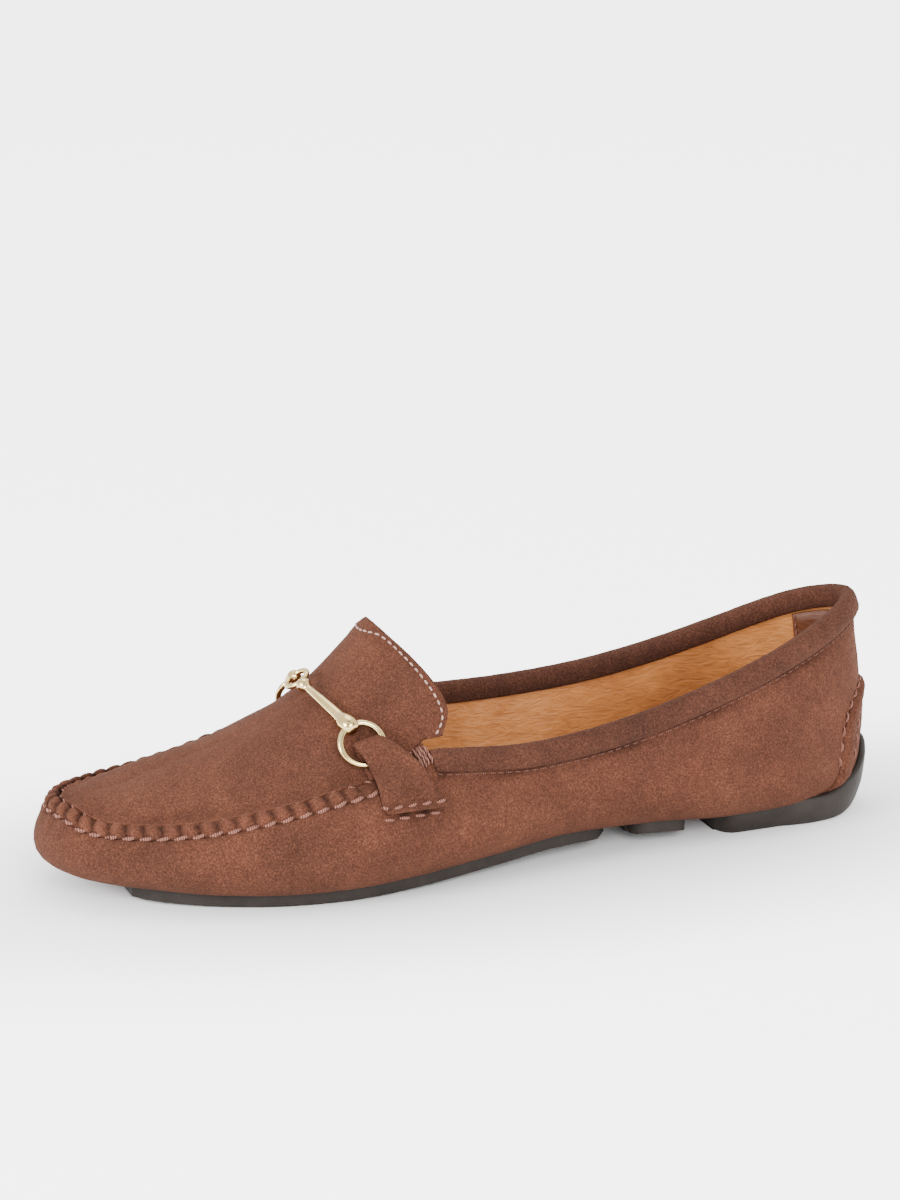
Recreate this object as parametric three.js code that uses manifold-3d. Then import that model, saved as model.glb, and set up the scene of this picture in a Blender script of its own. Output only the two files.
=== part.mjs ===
// Bit loafer, left shoe. Millimetres, toe along +X, outer side along +Y, up +Z.
// The suede shell is one function: ribs run from the spine of the underside, round the turn-up,
// up the side and over the apron; every other soft piece is laid on that same function.
import * as THREE from 'three';
import Module from 'manifold-3d';

const wasm = await Module();
wasm.setup();

// Named sizes
const LENGTH = 251;
const WALL = 1.8;
const GAP = 0.3;
const BINDING_DEPTH = 5.6;
const BINDING_THICK = 1.2;
const SEAM_WIDTH = 4.6;
const SEAM_RAISE = 1.5;
const PATCH_THICK = 1.3;
const RING_RADIUS = 6.1;
const WIRE_RADIUS = 0.9;
const STRAP_THICK = 1.1;
const INSOLE_THICK = 2.4;

// Places along the shoe are given for a length of 251 and stretch with it
const AT = LENGTH / 251;
const HEEL_X = -117 * AT;
const COLLAR_FRONT_X = 28 * AT;
const TONGUE_SEAM_X = 46 * AT;
const stretched = (rows) => rows.map((r) => ({ ...r, x: r.x * AT }));

// Ribs per side: toe to tongue, tongue, collar
const RIBS_TOE = 15;
const RIBS_TONGUE = 6;
const RIBS_COLLAR = 21;

// Sections by share of the length from the heel: half widths, underside and widest height
const SECTIONS = [
  { share: 0.000, lateral: 0.0, medial: 0.0, under: 7.0, widest: 17.5, edge: 8.6 },
  { share: 0.012, lateral: 9.0, medial: 9.0, under: 6.9, widest: 17.5, edge: 8.6 },
  { share: 0.045, lateral: 19.0, medial: 19.0, under: 6.6, widest: 17.5, edge: 9.0 },
  { share: 0.110, lateral: 27.0, medial: 27.0, under: 6.0, widest: 17.8, edge: 9.6 },
  { share: 0.200, lateral: 30.5, medial: 30.0, under: 6.0, widest: 18.0, edge: 10.0 },
  { share: 0.300, lateral: 31.5, medial: 29.5, under: 7.0, widest: 18.5, edge: 11.0 },
  { share: 0.400, lateral: 34.0, medial: 30.0, under: 7.2, widest: 19.0, edge: 12.0 },
  { share: 0.500, lateral: 39.0, medial: 33.5, under: 5.5, widest: 17.0, edge: 11.5 },
  { share: 0.600, lateral: 44.0, medial: 38.5, under: 4.0, widest: 14.5, edge: 10.5 },
  { share: 0.680, lateral: 46.0, medial: 41.5, under: 3.4, widest: 13.0, edge: 9.5 },
  { share: 0.760, lateral: 44.0, medial: 41.0, under: 3.3, widest: 12.0, edge: 9.0 },
  { share: 0.840, lateral: 38.0, medial: 36.5, under: 3.8, widest: 12.0, edge: 9.0 },
  { share: 0.900, lateral: 31.0, medial: 31.0, under: 4.8, widest: 12.5, edge: 9.5 },
  { share: 0.950, lateral: 22.9, medial: 23.8, under: 5.6, widest: 13.0, edge: 9.0 },
  { share: 0.985, lateral: 12.2, medial: 13.6, under: 6.0, widest: 13.2, edge: 8.8 },
  { share: 1.000, lateral: -2.0, medial: 2.0, under: 6.2, widest: 13.4, edge: 8.8 },
];

// Apron seam, outer row: how far in from the outline and how high on either side, by X
const SEAM = stretched([
  { x: 28, inset: 10.5, lateral: 38.8, medial: 39.0 },
  { x: 36, inset: 8.2, lateral: 34.2, medial: 34.6 },
  { x: 46, inset: 6.5, lateral: 31.0, medial: 31.8 },
  { x: 56, inset: 5.5, lateral: 29.5, medial: 30.2 },
  { x: 70, inset: 4.8, lateral: 26.8, medial: 28.0 },
  { x: 85, inset: 4.3, lateral: 23.9, medial: 24.8 },
  { x: 100, inset: 4.0, lateral: 21.4, medial: 23.0 },
  { x: 112, inset: 3.8, lateral: 20.4, medial: 22.6 },
  { x: 122, inset: 3.6, lateral: 20.3, medial: 22.8 },
  { x: 128, inset: 3.5, lateral: 21.1, medial: 23.2 },
  { x: 131, inset: 3.4, lateral: 22.6, medial: 23.6 },
  { x: 134, inset: 3.4, lateral: 23.4, medial: 23.4 },
]);

// Top of the apron along the middle, by X, and how pointed the arch is there
const RIDGE = stretched([
  { x: 36.4, z: 70.2, arch: 1.32 },
  { x: 41.5, z: 64.3, arch: 1.3 },
  { x: 45.7, z: 59.3, arch: 1.3 },
  { x: 48.4, z: 56.2, arch: 1.32 },
  { x: 53.5, z: 51.0, arch: 1.36 },
  { x: 61, z: 46.4, arch: 1.46 },
  { x: 68.2, z: 42.5, arch: 1.56 },
  { x: 76.9, z: 38.7, arch: 1.7 },
  { x: 89.4, z: 34.8, arch: 1.9 },
  { x: 100, z: 31.4, arch: 2.0 },
  { x: 110, z: 28.6, arch: 2.0 },
  { x: 122, z: 26.3, arch: 1.8 },
]);

// Rear edge of the tongue, from its top in the middle to its lower corner
const TONGUE_EDGE = stretched([
  { x: 36.4, y: 0.0, z: 70.2 },
  { x: 33.2, y: 7.5, z: 67.0 },
  { x: 27.6, y: 15.0, z: 61.0 },
  { x: 22.6, y: 22.0, z: 53.4 },
  { x: 21.2, y: 25.2, z: 48.2 },
  { x: 24.0, y: 28.8, z: 42.3 },
]);

// Topline from the collar front to the back of the heel
const TOPLINE = stretched([
  { x: 28, half: 33.4, lateral: 38.8, medial: 39.0 },
  { x: 20, half: 32.6, lateral: 38.0, medial: 38.2 },
  { x: 0, half: 31.0, lateral: 36.6, medial: 38.2 },
  { x: -20, half: 29.8, lateral: 38.2, medial: 39.2 },
  { x: -40, half: 28.2, lateral: 41.8, medial: 41.6 },
  { x: -60, half: 26.4, lateral: 47.2, medial: 45.8 },
  { x: -80, half: 23.0, lateral: 53.4, medial: 52.0 },
  { x: -91, half: 19.4, lateral: 56.9, medial: 56.4 },
  { x: -101, half: 14.9, lateral: 60.2, medial: 60.4 },
  { x: -108.5, half: 10.0, lateral: 62.6, medial: 62.8 },
  { x: -113.0, half: 5.0, lateral: 63.8, medial: 64.0 },
  { x: -114.6, half: 0.0, lateral: 64.2, medial: 64.2 },
]);

// Monotone cubic through a column of a table
function column(rows, key, value) {
  const xs = rows.map((r) => r[key]);
  const ys = rows.map((r) => r[value]);
  const n = xs.length;
  const slope = [];
  for (let i = 0; i < n - 1; i += 1) slope.push((ys[i + 1] - ys[i]) / (xs[i + 1] - xs[i]));
  const m = [slope[0]];
  for (let i = 1; i < n - 1; i += 1) {
    const s = slope[i - 1] * slope[i];
    m.push(s <= 0 ? 0 : (2 * s) / (slope[i - 1] + slope[i]));
  }
  m.push(slope[n - 2]);
  return (x) => {
    if (x <= xs[0]) return ys[0];
    if (x >= xs[n - 1]) return ys[n - 1];
    let i = 0;
    while (x > xs[i + 1]) i += 1;
    const h = xs[i + 1] - xs[i];
    const t = (x - xs[i]) / h;
    const a = ys[i] * (1 + 2 * t) * (1 - t) ** 2 + ys[i + 1] * t * t * (3 - 2 * t);
    return a + h * (m[i] * t * (1 - t) ** 2 + m[i + 1] * t * t * (t - 1));
  };
}

const share = (x) => (x - HEEL_X) / LENGTH;
const under = column(SECTIONS, 'share', 'under');
const widest = column(SECTIONS, 'share', 'widest');
const edgeInset = column(SECTIONS, 'share', 'edge');
const seamInset = column(SEAM, 'x', 'inset');
const seamZ = { 1: column(SEAM, 'x', 'lateral'), '-1': column(SEAM, 'x', 'medial') };
const ridgeZ = column(RIDGE, 'x', 'z');
const ridgeArch = column(RIDGE, 'x', 'arch');
const lerp = (a, b, t) => a + (b - a) * t;
const clamp = (v, lo, hi) => Math.min(hi, Math.max(lo, v));
const V = (x, y, z) => new THREE.Vector3(x, y, z);
// The middle line drifts to the inner side near the toe
const middleY = (x) => -2 * clamp((x / AT - 85) / 49, 0, 1);

// One side of the outline, toe to heel, by share of its own length
function sideCurve(side) {
  const rows = SECTIONS.slice(1, -1);
  const pts = [V(HEEL_X, 0, 0)];
  for (const r of rows) pts.push(V(HEEL_X + LENGTH * r.share, r.lateral, 0));
  pts.push(V(HEEL_X + LENGTH, -2, 0));
  for (const r of [...rows].reverse()) pts.push(V(HEEL_X + LENGTH * r.share, -r.medial, 0));
  const closed = new THREE.CatmullRomCurve3(pts, true, 'centripetal');
  const toe = (rows.length + 1) / pts.length;
  const list = [];
  const steps = 700;
  for (let i = 0; i <= steps; i += 1) {
    const t = i / steps;
    const u = side > 0 ? toe * (1 - t) : toe + (1 - toe) * t;
    list.push(closed.getPoint(u === 1 ? 0 : u));
  }
  const along = [0];
  for (let i = 1; i <= steps; i += 1) along.push(along[i - 1] + list[i].distanceTo(list[i - 1]));
  const total = along[steps];
  const at = (a) => {
    const d = clamp(a, 0, 1) * total;
    let i = 0;
    while (i < steps - 1 && along[i + 1] < d) i += 1;
    const t = (d - along[i]) / (along[i + 1] - along[i]);
    const p = list[i].clone().lerp(list[i + 1], t);
    const tan = list[Math.min(steps, i + 2)].clone().sub(list[Math.max(0, i - 1)]).normalize();
    if (a < 0.004) tan.set(0, side, 0);
    if (a > 0.996) tan.set(0, -side, 0);
    return { x: p.x, y: p.y, nx: tan.y * side, ny: -tan.x * side };
  };
  const find = (x) => {
    let i = 0;
    while (list[i].x > x) i += 1;
    return along[i] / total;
  };
  return { at, find };
}
const curves = { 1: sideCurve(1), '-1': sideCurve(-1) };

// Ribs closer together at both ends of a stretch
const warp = (t, k) => t - (k * Math.sin(2 * Math.PI * t)) / (2 * Math.PI);
const RIBS_FRONT = RIBS_TOE + RIBS_TONGUE;
const RIBS = RIBS_FRONT + RIBS_COLLAR;
function ribShare(side, j) {
  const tongue = curves[side].find(TONGUE_SEAM_X);
  const collar = curves[side].find(COLLAR_FRONT_X);
  if (j <= RIBS_TOE) return tongue * (0.35 * (j / RIBS_TOE) ** 2 + 0.65 * (j / RIBS_TOE));
  if (j <= RIBS_FRONT) return lerp(tongue, collar, (j - RIBS_TOE) / RIBS_TONGUE);
  return lerp(collar, 1, warp((j - RIBS_FRONT) / RIBS_COLLAR, 0.25));
}

// Topline of one side as a curve from the collar front to the heel
function toplineCurve(side) {
  const key = side > 0 ? 'lateral' : 'medial';
  const pts = TOPLINE.map((r) => V(r.x, side * r.half, r[key]));
  const tail = [...TOPLINE].slice(-4, -1).reverse();
  const other = side > 0 ? 'medial' : 'lateral';
  for (const r of tail) pts.push(V(r.x, -side * r.half, r[other]));
  const whole = new THREE.CatmullRomCurve3(pts, false, 'centripetal');
  const end = (TOPLINE.length - 1) / (pts.length - 1);
  const steps = 400;
  const list = [];
  for (let i = 0; i <= steps; i += 1) list.push(whole.getPoint((end * i) / steps));
  const along = [0];
  for (let i = 1; i <= steps; i += 1) along.push(along[i - 1] + list[i].distanceTo(list[i - 1]));
  return (q) => {
    const d = clamp(q, 0, 1) * along[steps];
    let i = 0;
    while (i < steps - 1 && along[i + 1] < d) i += 1;
    return list[i].clone().lerp(list[i + 1], (d - along[i]) / (along[i + 1] - along[i]));
  };
}
const toplines = { 1: toplineCurve(1), '-1': toplineCurve(-1) };

function tonguePoint(side, q) {
  const pts = TONGUE_EDGE.map((r) => V(r.x, side * r.y, r.z));
  pts.unshift(V(TONGUE_EDGE[1].x, -side * TONGUE_EDGE[1].y, TONGUE_EDGE[1].z));
  const curve = new THREE.CatmullRomCurve3(pts, false, 'centripetal');
  const n = pts.length - 1;
  return curve.getPoint((1 + q * (n - 1)) / n);
}

// Where the outline point, the apron seam and the end of a rib lie
function ribGuide(side, j) {
  const a = ribShare(side, j);
  const o = curves[side].at(a);
  const s = share(o.x);
  const guide = { o, zb: under(s), zg: widest(s), inset: edgeInset(s) };
  if (j > RIBS_FRONT) {
    const q = (a - curves[side].find(COLLAR_FRONT_X)) / (1 - curves[side].find(COLLAR_FRONT_X));
    guide.top = toplines[side](q);
    guide.heel = clamp((-60 - o.x / AT) / 57, 0, 1);
    return guide;
  }
  const inset = seamInset(o.x);
  guide.top = V(o.x - o.nx * inset, o.y - o.ny * inset, seamZ[side](o.x));
  guide.heel = 0;
  const deep = inset + SEAM_WIDTH;
  guide.raise = SEAM_RAISE * clamp((o.x / AT - 43) / 14, 0.12, 1);
  guide.plug = V(o.x - o.nx * deep, o.y - o.ny * deep, guide.top.z + 2.2);
  if (j > RIBS_TOE) {
    guide.end = tonguePoint(side, (j - RIBS_TOE) / RIBS_TONGUE);
    guide.arch = lerp(RIDGE[0].arch, 1.12, (j - RIBS_TOE) / RIBS_TONGUE);
  } else {
    const m = (j / RIBS_TOE) ** 1.4;
    const x = lerp(121.5 * AT, RIDGE[0].x, m);
    guide.end = V(x, middleY(x), ridgeZ(x));
    guide.arch = ridgeArch(x);
  }
  return guide;
}

function spineX(x) {
  const front = 98 * AT;
  const rear = -87 * AT;
  if (x > front) return front + (x - front) * 0.2;
  if (x < rear) return rear + (x - rear) * 0.2;
  return x;
}

// Levels of a rib: 0 spine, 1 edge of the flat, 2 widest, 3 seam or topline, 4 apron edge, 5 end
function ribPoint(side, j, v) {
  const g = ribGuide(side, j);
  const { o } = g;
  if (v <= 1) {
    const other = curves[-side].at(ribShare(-side, j));
    const x = spineX((o.x + other.x) / 2);
    const ex = o.x - o.nx * g.inset;
    const ey = o.y - o.ny * g.inset;
    const px = lerp(x, ex, v);
    return V(px, lerp(middleY(x), ey, v), under(share(px)));
  }
  if (v <= 2) {
    const f = ((v - 1) * Math.PI) / 2;
    const inset = g.inset * (1 - Math.sin(f));
    const px = o.x - o.nx * inset;
    const low = lerp(under(share(px)), g.zb, Math.sin(f));
    return V(px, o.y - o.ny * inset, lerp(low, g.zg, 1 - Math.cos(f)));
  }
  if (v <= 3) {
    const t = v - 2;
    const e = t ** (j > RIBS_FRONT ? 1.5 : 1.9);
    const out = g.heel * 1.3 * Math.sin(Math.PI * t ** 0.85);
    const x = lerp(o.x, g.top.x, e) + o.nx * out;
    return V(x, lerp(o.y, g.top.y, e) + o.ny * out, lerp(g.zg, g.top.z, t));
  }
  if (v <= 4) {
    const t = v - 3;
    const p = g.top.clone().lerp(g.plug, t);
    const lift = t > 0.01 && t < 0.99 ? g.raise : 0;
    return p.add(V(o.nx * lift * 0.45, o.ny * lift * 0.45, lift * 0.9));
  }
  const t = v - 4;
  const p = g.plug.clone().lerp(g.end, t);
  p.z = lerp(g.plug.z, g.end.z, 1 - (1 - t) ** g.arch);
  return p;
}

const TUB_LEVELS = [0, 1, 1.3, 1.6, 2, 2.22, 2.45, 2.7, 3];
const APRON_LEVELS = [3, 3.16, 3.8, 4, 4.12, 4.28, 4.46, 4.66, 4.84, 5];

// A sheet is a list of points, triangles and a map from rib and level to a point
function makeSheet() {
  const points = [];
  const tris = [];
  const seen = new Map();
  const vertex = (p) => {
    const key = `${p.x.toFixed(3)},${p.y.toFixed(3)},${p.z.toFixed(3)}`;
    if (!seen.has(key)) {
      seen.set(key, points.length);
      points.push(p.clone());
    }
    return seen.get(key);
  };
  const triangle = (a, b, c) => {
    if (a !== b && b !== c && a !== c) tris.push([a, b, c]);
  };
  const patch = (rows, flip) => {
    for (let j = 0; j < rows.length - 1; j += 1) {
      for (let k = 0; k < rows[j].length - 1; k += 1) {
        const [a, b, c, d] = [rows[j][k], rows[j + 1][k], rows[j + 1][k + 1], rows[j][k + 1]];
        if (flip) {
          triangle(a, d, c);
          triangle(a, c, b);
        } else {
          triangle(a, b, c);
          triangle(a, c, d);
        }
      }
    }
  };
  return { points, tris, vertex, patch, triangle };
}

function normalsOf(points, tris) {
  const out = points.map(() => V(0, 0, 0));
  for (const [a, b, c] of tris) {
    const n = points[b].clone().sub(points[a]).cross(points[c].clone().sub(points[a]));
    out[a].add(n);
    out[b].add(n);
    out[c].add(n);
  }
  return out.map((n) => n.normalize());
}

function upperSheet() {
  const sheet = makeSheet();
  const grid = { 1: [], '-1': [] };
  for (const side of [1, -1]) {
    const tub = [];
    const apron = [];
    for (let j = 0; j <= RIBS; j += 1) {
      const s = j === 0 || j === RIBS ? 1 : side;
      tub.push(TUB_LEVELS.map((v) => sheet.vertex(ribPoint(s, j, v))));
      if (j <= RIBS_FRONT) apron.push(APRON_LEVELS.map((v) => sheet.vertex(ribPoint(s, j, v))));
    }
    sheet.patch(tub, side < 0);
    sheet.patch(apron, side < 0);
    grid[side] = tub;
  }
  sheet.grid = grid;
  sheet.normals = normalsOf(sheet.points, sheet.tris);
  return sheet;
}

// Shell between two offsets of a sheet, closed round its open edges
function shell(sheet, inner, outer) {
  const n = sheet.points.length;
  const pos = [];
  for (const d of [outer, inner]) {
    sheet.points.forEach((p, i) => {
      pos.push(p.x + sheet.normals[i].x * d, p.y + sheet.normals[i].y * d, p.z + sheet.normals[i].z * d);
    });
  }
  const idx = [];
  const open = new Map();
  for (const [a, b, c] of sheet.tris) {
    idx.push(a, b, c, a + n, c + n, b + n);
    for (const [u, v] of [[a, b], [b, c], [c, a]]) {
      if (open.has(`${v},${u}`)) open.delete(`${v},${u}`);
      else open.set(`${u},${v}`, [u, v]);
    }
  }
  for (const [u, v] of open.values()) idx.push(v, u, u + n, v, u + n, v + n);
  return solid(pos, idx);
}

function solid(pos, idx) {
  return new wasm.Manifold(new wasm.Mesh({
    numProp: 3,
    vertProperties: new Float32Array(pos),
    triVerts: new Uint32Array(idx),
  }));
}

const MATERIALS = {
  suede: { color: 0x7a4a33, roughness: 0.95, metalness: 0 },
  gold: { color: 0xd9c38c, roughness: 0.2, metalness: 1 },
  rubber: { color: 0x4a423c, roughness: 0.7, metalness: 0 },
  lining: { color: 0xb98146, roughness: 0.6, metalness: 0 },
};

const group = new THREE.Group();
group.name = 'bit_loafer';

function addNode(name, body, look) {
  const mesh = body.getMesh();
  const pos = [];
  for (let i = 0; i < mesh.numVert; i += 1) {
    for (let k = 0; k < 3; k += 1) pos.push(mesh.vertProperties[i * mesh.numProp + k]);
  }
  const geometry = new THREE.BufferGeometry();
  geometry.setAttribute('position', new THREE.Float32BufferAttribute(pos, 3));
  geometry.setIndex([...mesh.triVerts]);
  geometry.computeVertexNormals();
  const node = new THREE.Mesh(geometry, new THREE.MeshStandardMaterial(MATERIALS[look]));
  node.name = name;
  group.add(node);
}

const upper = upperSheet();
const upperBody = shell(upper, -WALL, 0);
const normalAt = (i) => upper.normals[i];

// Closed form that follows the underside and the sides at an offset, capped level inside
function form(offset) {
  const sheet = makeSheet();
  for (const side of [1, -1]) {
    const rows = [];
    for (let j = 0; j <= RIBS; j += 1) {
      const ids = upper.grid[side][j].slice(0, 8);
      const row = ids.map((i) => sheet.vertex(
        upper.points[i].clone().addScaledVector(normalAt(i), offset),
      ));
      const spine = upper.points[ids[0]];
      row.push(sheet.vertex(V(spine.x, spine.y, 22)));
      rows.push(row);
    }
    sheet.patch(rows, side < 0);
  }
  const pos = [];
  for (const p of sheet.points) pos.push(p.x, p.y, p.z);
  return solid(pos, sheet.tris.flat());
}

// Straight prism over a polygon, along Z, X or Y
function prism(polygon, axis, from, to) {
  const flat = polygon.map(([a, b]) => new THREE.Vector2(a, b));
  if (THREE.ShapeUtils.isClockWise(flat)) flat.reverse();
  const faces = THREE.ShapeUtils.triangulateShape(flat, []);
  const n = flat.length;
  const pos = [];
  for (const h of [from, to]) {
    for (const p of flat) {
      if (axis === 'z') pos.push(p.x, p.y, h);
      if (axis === 'x') pos.push(h, p.x, p.y);
      if (axis === 'y') pos.push(p.y, h, p.x);
    }
  }
  const idx = [];
  for (const [a, b, c] of faces) idx.push(a, c, b, a + n, b + n, c + n);
  for (let i = 0; i < n; i += 1) {
    const k = (i + 1) % n;
    idx.push(i, k, k + n, i, k + n, i + n);
  }
  return solid(pos, idx);
}

// Plan outline of a rubber pad between two X, set in from the outline of the shoe
function padPlan(from, to, insetAt, round) {
  const pts = [];
  for (const side of [1, -1]) {
    const first = curves[side].find(to);
    const last = from < HEEL_X ? 1 : curves[side].find(from);
    const line = [];
    for (let i = 0; i <= 36; i += 1) {
      const o = curves[side].at(lerp(first, last, i / 36));
      const d = insetAt(o.x);
      const x = o.x - o.nx * d;
      const y = o.y - o.ny * d;
      const near = clamp(Math.min(from < HEEL_X ? round : x - from, to - x), 0, round);
      const pull = round - Math.sqrt(round ** 2 - (round - near) ** 2);
      line.push([x, y - Math.sign(y) * pull]);
    }
    if (side < 0 && last === 1) line.pop();
    pts.push(side > 0 ? line : line.reverse());
  }
  return [...pts[0], ...pts[1]];
}

const clear = form(GAP);
const floorBox = prism([[-160, -80], [160, -80], [160, 80], [-160, 80]], 'z', 0, 60);

// Forefoot and middle pads: a skin of rubber under the flat of the suede
const PAD_THICK = 3.3;
const skin = form(GAP + PAD_THICK).intersect(floorBox);
const foreInset = column(
  stretched([{ x: -30, d: 9.0 }, { x: 60, d: 7.5 }, { x: 125, d: 8.5 }]),
  'x',
  'd',
);
const forePlan = padPlan(-31 * AT, 116 * AT, foreInset, 12);
const forePad = skin.intersect(prism(forePlan, 'z', -1, 8)).subtract(clear);
const midPlan = padPlan(-55 * AT, -37 * AT, () => 8.5, 6);
const midPad = skin.intersect(prism(midPlan, 'z', -1, 9)).subtract(clear);

// Heel pad: a thick block to the floor, narrower at the floor, and a lip up the back
// Insets of the block by height, at five places from the back of the heel forward
const HEEL_PLACES = [-117, -112, -106, -97, -60];
const HEEL_RINGS = [
  { z: 0.0, inset: [1.6, 2.0, 4.6, 9.0, 10.0] },
  { z: 1.2, inset: [0.2, 0.8, 3.6, 8.2, 9.4] },
  { z: 3.5, inset: [-1.0, -0.4, 2.6, 7.2, 8.6] },
  { z: 7.8, inset: [-2.3, -1.6, 1.4, 5.6, 6.8] },
  { z: 12.0, inset: [-2.9, -2.2, 2.6, 8.0, 12.0] },
  { z: 14.0, inset: [-3.1, -2.2, 4.0, 10.0, 13.0] },
];
const heelRing = ({ z, inset }) => {
  const rows = HEEL_PLACES.map((x, i) => ({ x: x * AT, d: inset[i] }));
  return padPlan(-125 * AT, -66 * AT, column(rows, 'x', 'd'), 5).map(([x, y]) => V(x, y, z));
};
const heelBlock = loft(HEEL_RINGS.map(heelRing), false);
const LIP = [
  [-100, 3], [-104, 5], [-110, 7.4], [-115, 11], [-118, 14.5], [-121, 19.4], [-128, 20.2], [-128, 3],
];
const lipProfile = prism(LIP.map(([x, z]) => [z, x * AT]), 'y', -40, 40);
const LIP_THICK = 3.4;
const lip = form(LIP_THICK).intersect(lipProfile).intersect(floorBox);

// Counter patch at the heel
const PATCH = [[18.5, 7], [20.3, 14], [20.4, 22], [19.4, 28], [16, 33.8], [9.5, 37.6], [0, 38.8]];
const patchOutline = (grow) => {
  const half = PATCH.map(([y, z]) => [y + grow, z + (z > 30 ? grow : 0)]);
  return [...half, ...half.slice(0, -1).reverse().map(([y, z]) => [-y, z])];
};
const patchBlock = (grow) => prism(patchOutline(grow), 'x', -130 * AT, -98 * AT);
const patch = form(GAP + PATCH_THICK).subtract(clear).intersect(patchBlock(0));
const patchRoom = form(GAP * 2 + PATCH_THICK).intersect(patchBlock(GAP));
const heelPad = heelBlock.add(lip).subtract(patchRoom).subtract(clear);

// Collar binding: a channel that rides over the rim of the collar
function bindingSection(side, j) {
  const ids = upper.grid[side][j];
  const line = ids.slice(4).reverse().map((i) => ({ p: upper.points[i], n: normalAt(i) }));
  const at = (d) => {
    let left = d;
    for (let i = 0; i < line.length - 1; i += 1) {
      const span = line[i].p.distanceTo(line[i + 1].p);
      if (left <= span) {
        const t = left / span;
        return {
          p: line[i].p.clone().lerp(line[i + 1].p, t),
          n: line[i].n.clone().lerp(line[i + 1].n, t).normalize(),
        };
      }
      left -= span;
    }
    return line[line.length - 1];
  };
  const rim = at(0);
  const up = rim.p.clone().sub(at(3).p).normalize();
  const put = (f, side2, off) => f.p.clone().addScaledVector(f.n, off).addScaledVector(up, side2);
  const inner = -(WALL + GAP);
  const far = inner - BINDING_THICK;
  const near = GAP + BINDING_THICK;
  const low = at(BINDING_DEPTH);
  const mid = at(BINDING_DEPTH * 0.5);
  const inLow = at(BINDING_DEPTH - 1);
  return [
    put(low, 0, near * 0.8), put(mid, 0, near * 1.15), put(rim, -0.6, near * 1.1),
    put(rim, near * 0.75, near * 0.55), put(rim, near * 1.1, -WALL / 2),
    put(rim, near * 0.75, far + near * 0.45),
    put(rim, -0.6, far - 0.2), put(mid, 0, far - 0.2), put(inLow, 0, far),
    put(inLow, 0, inner), put(mid, 0, inner), put(rim, GAP, inner),
    put(rim, GAP, GAP), put(mid, 0, GAP), put(low, 0, GAP),
  ];
}

// Triangles of a simple polygon wound anticlockwise; every corner is kept
function earClip(flat) {
  const left = flat.map((_, i) => i);
  const cross = (a, b, c) => (b.x - a.x) * (c.y - a.y) - (b.y - a.y) * (c.x - a.x);
  const out = [];
  while (left.length > 3) {
    let pick = -1;
    let best = -Infinity;
    for (let i = 0; i < left.length; i += 1) {
      const [ia, ib, ic] = [left.at(i - 1), left[i], left[(i + 1) % left.length]];
      const [a, b, c] = [flat[ia], flat[ib], flat[ic]];
      const area = cross(a, b, c);
      const hidden = left.some((k) => k !== ia && k !== ib && k !== ic
        && cross(a, b, flat[k]) >= 0 && cross(b, c, flat[k]) >= 0 && cross(c, a, flat[k]) >= 0);
      const score = hidden ? area - 1e6 : area;
      const thin = area / (1e-9 + a.distanceTo(c) ** 2);
      if (area > 1e-9 && score > -1e5 && thin > best) {
        best = thin;
        pick = i;
      }
    }
    if (pick < 0) pick = 0;
    out.push([left.at(pick - 1), left[pick], left[(pick + 1) % left.length]]);
    left.splice(pick, 1);
  }
  out.push(left);
  return out;
}

// Closed tube through a list of sections with the same number of points
function loft(sections, ringClosed) {
  const n = sections[0].length;
  const pos = [];
  for (const ring of sections) for (const p of ring) pos.push(p.x, p.y, p.z);
  const idx = [];
  const last = ringClosed ? sections.length : sections.length - 1;
  for (let i = 0; i < last; i += 1) {
    const a = i * n;
    const b = ((i + 1) % sections.length) * n;
    for (let k = 0; k < n; k += 1) {
      const m = (k + 1) % n;
      idx.push(a + k, b + k, b + m, a + k, b + m, a + m);
    }
  }
  if (!ringClosed) {
    for (const [ring, base, flip] of [[sections[0], 0, false], [sections.at(-1), last * n, true]]) {
      const c = new THREE.Vector3();
      const area = new THREE.Vector3();
      for (let k = 0; k < n; k += 1) c.add(ring[k]);
      c.multiplyScalar(1 / n);
      for (let k = 0; k < n; k += 1) {
        area.add(ring[k].clone().sub(c).cross(ring[(k + 1) % n].clone().sub(c)));
      }
      area.normalize();
      const u = ring[1].clone().sub(ring[0]).projectOnPlane(area).normalize();
      const v = area.clone().cross(u);
      const flat = ring.map((p) => new THREE.Vector2(p.clone().sub(c).dot(u), p.clone().sub(c).dot(v)));
      for (const [p, q, r] of earClip(flat)) {
        if (flip) idx.push(base + p, base + r, base + q);
        else idx.push(base + p, base + q, base + r);
      }
    }
  }
  let volume = 0;
  const at = (i) => V(pos[3 * i], pos[3 * i + 1], pos[3 * i + 2]);
  for (let i = 0; i < idx.length; i += 3) {
    volume += at(idx[i]).dot(at(idx[i + 1]).cross(at(idx[i + 2])));
  }
  if (volume < 0) {
    for (let i = 0; i < idx.length; i += 3) [idx[i + 1], idx[i + 2]] = [idx[i + 2], idx[i + 1]];
  }
  return solid(pos, idx);
}

function binding() {
  const sections = [];
  const front = (side) => {
    const a = bindingSection(side, RIBS_FRONT + 1);
    const b = bindingSection(side, RIBS_FRONT + 2);
    return a.map((p, i) => p.clone().lerp(b[i], -0.1));
  };
  sections.push(front(1));
  for (let j = RIBS_FRONT + 1; j <= RIBS; j += 1) sections.push(bindingSection(1, j));
  for (let j = RIBS - 1; j > RIBS_FRONT; j -= 1) sections.push(bindingSection(-1, j));
  sections.push(front(-1));
  return loft(sections, false);
}

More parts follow.
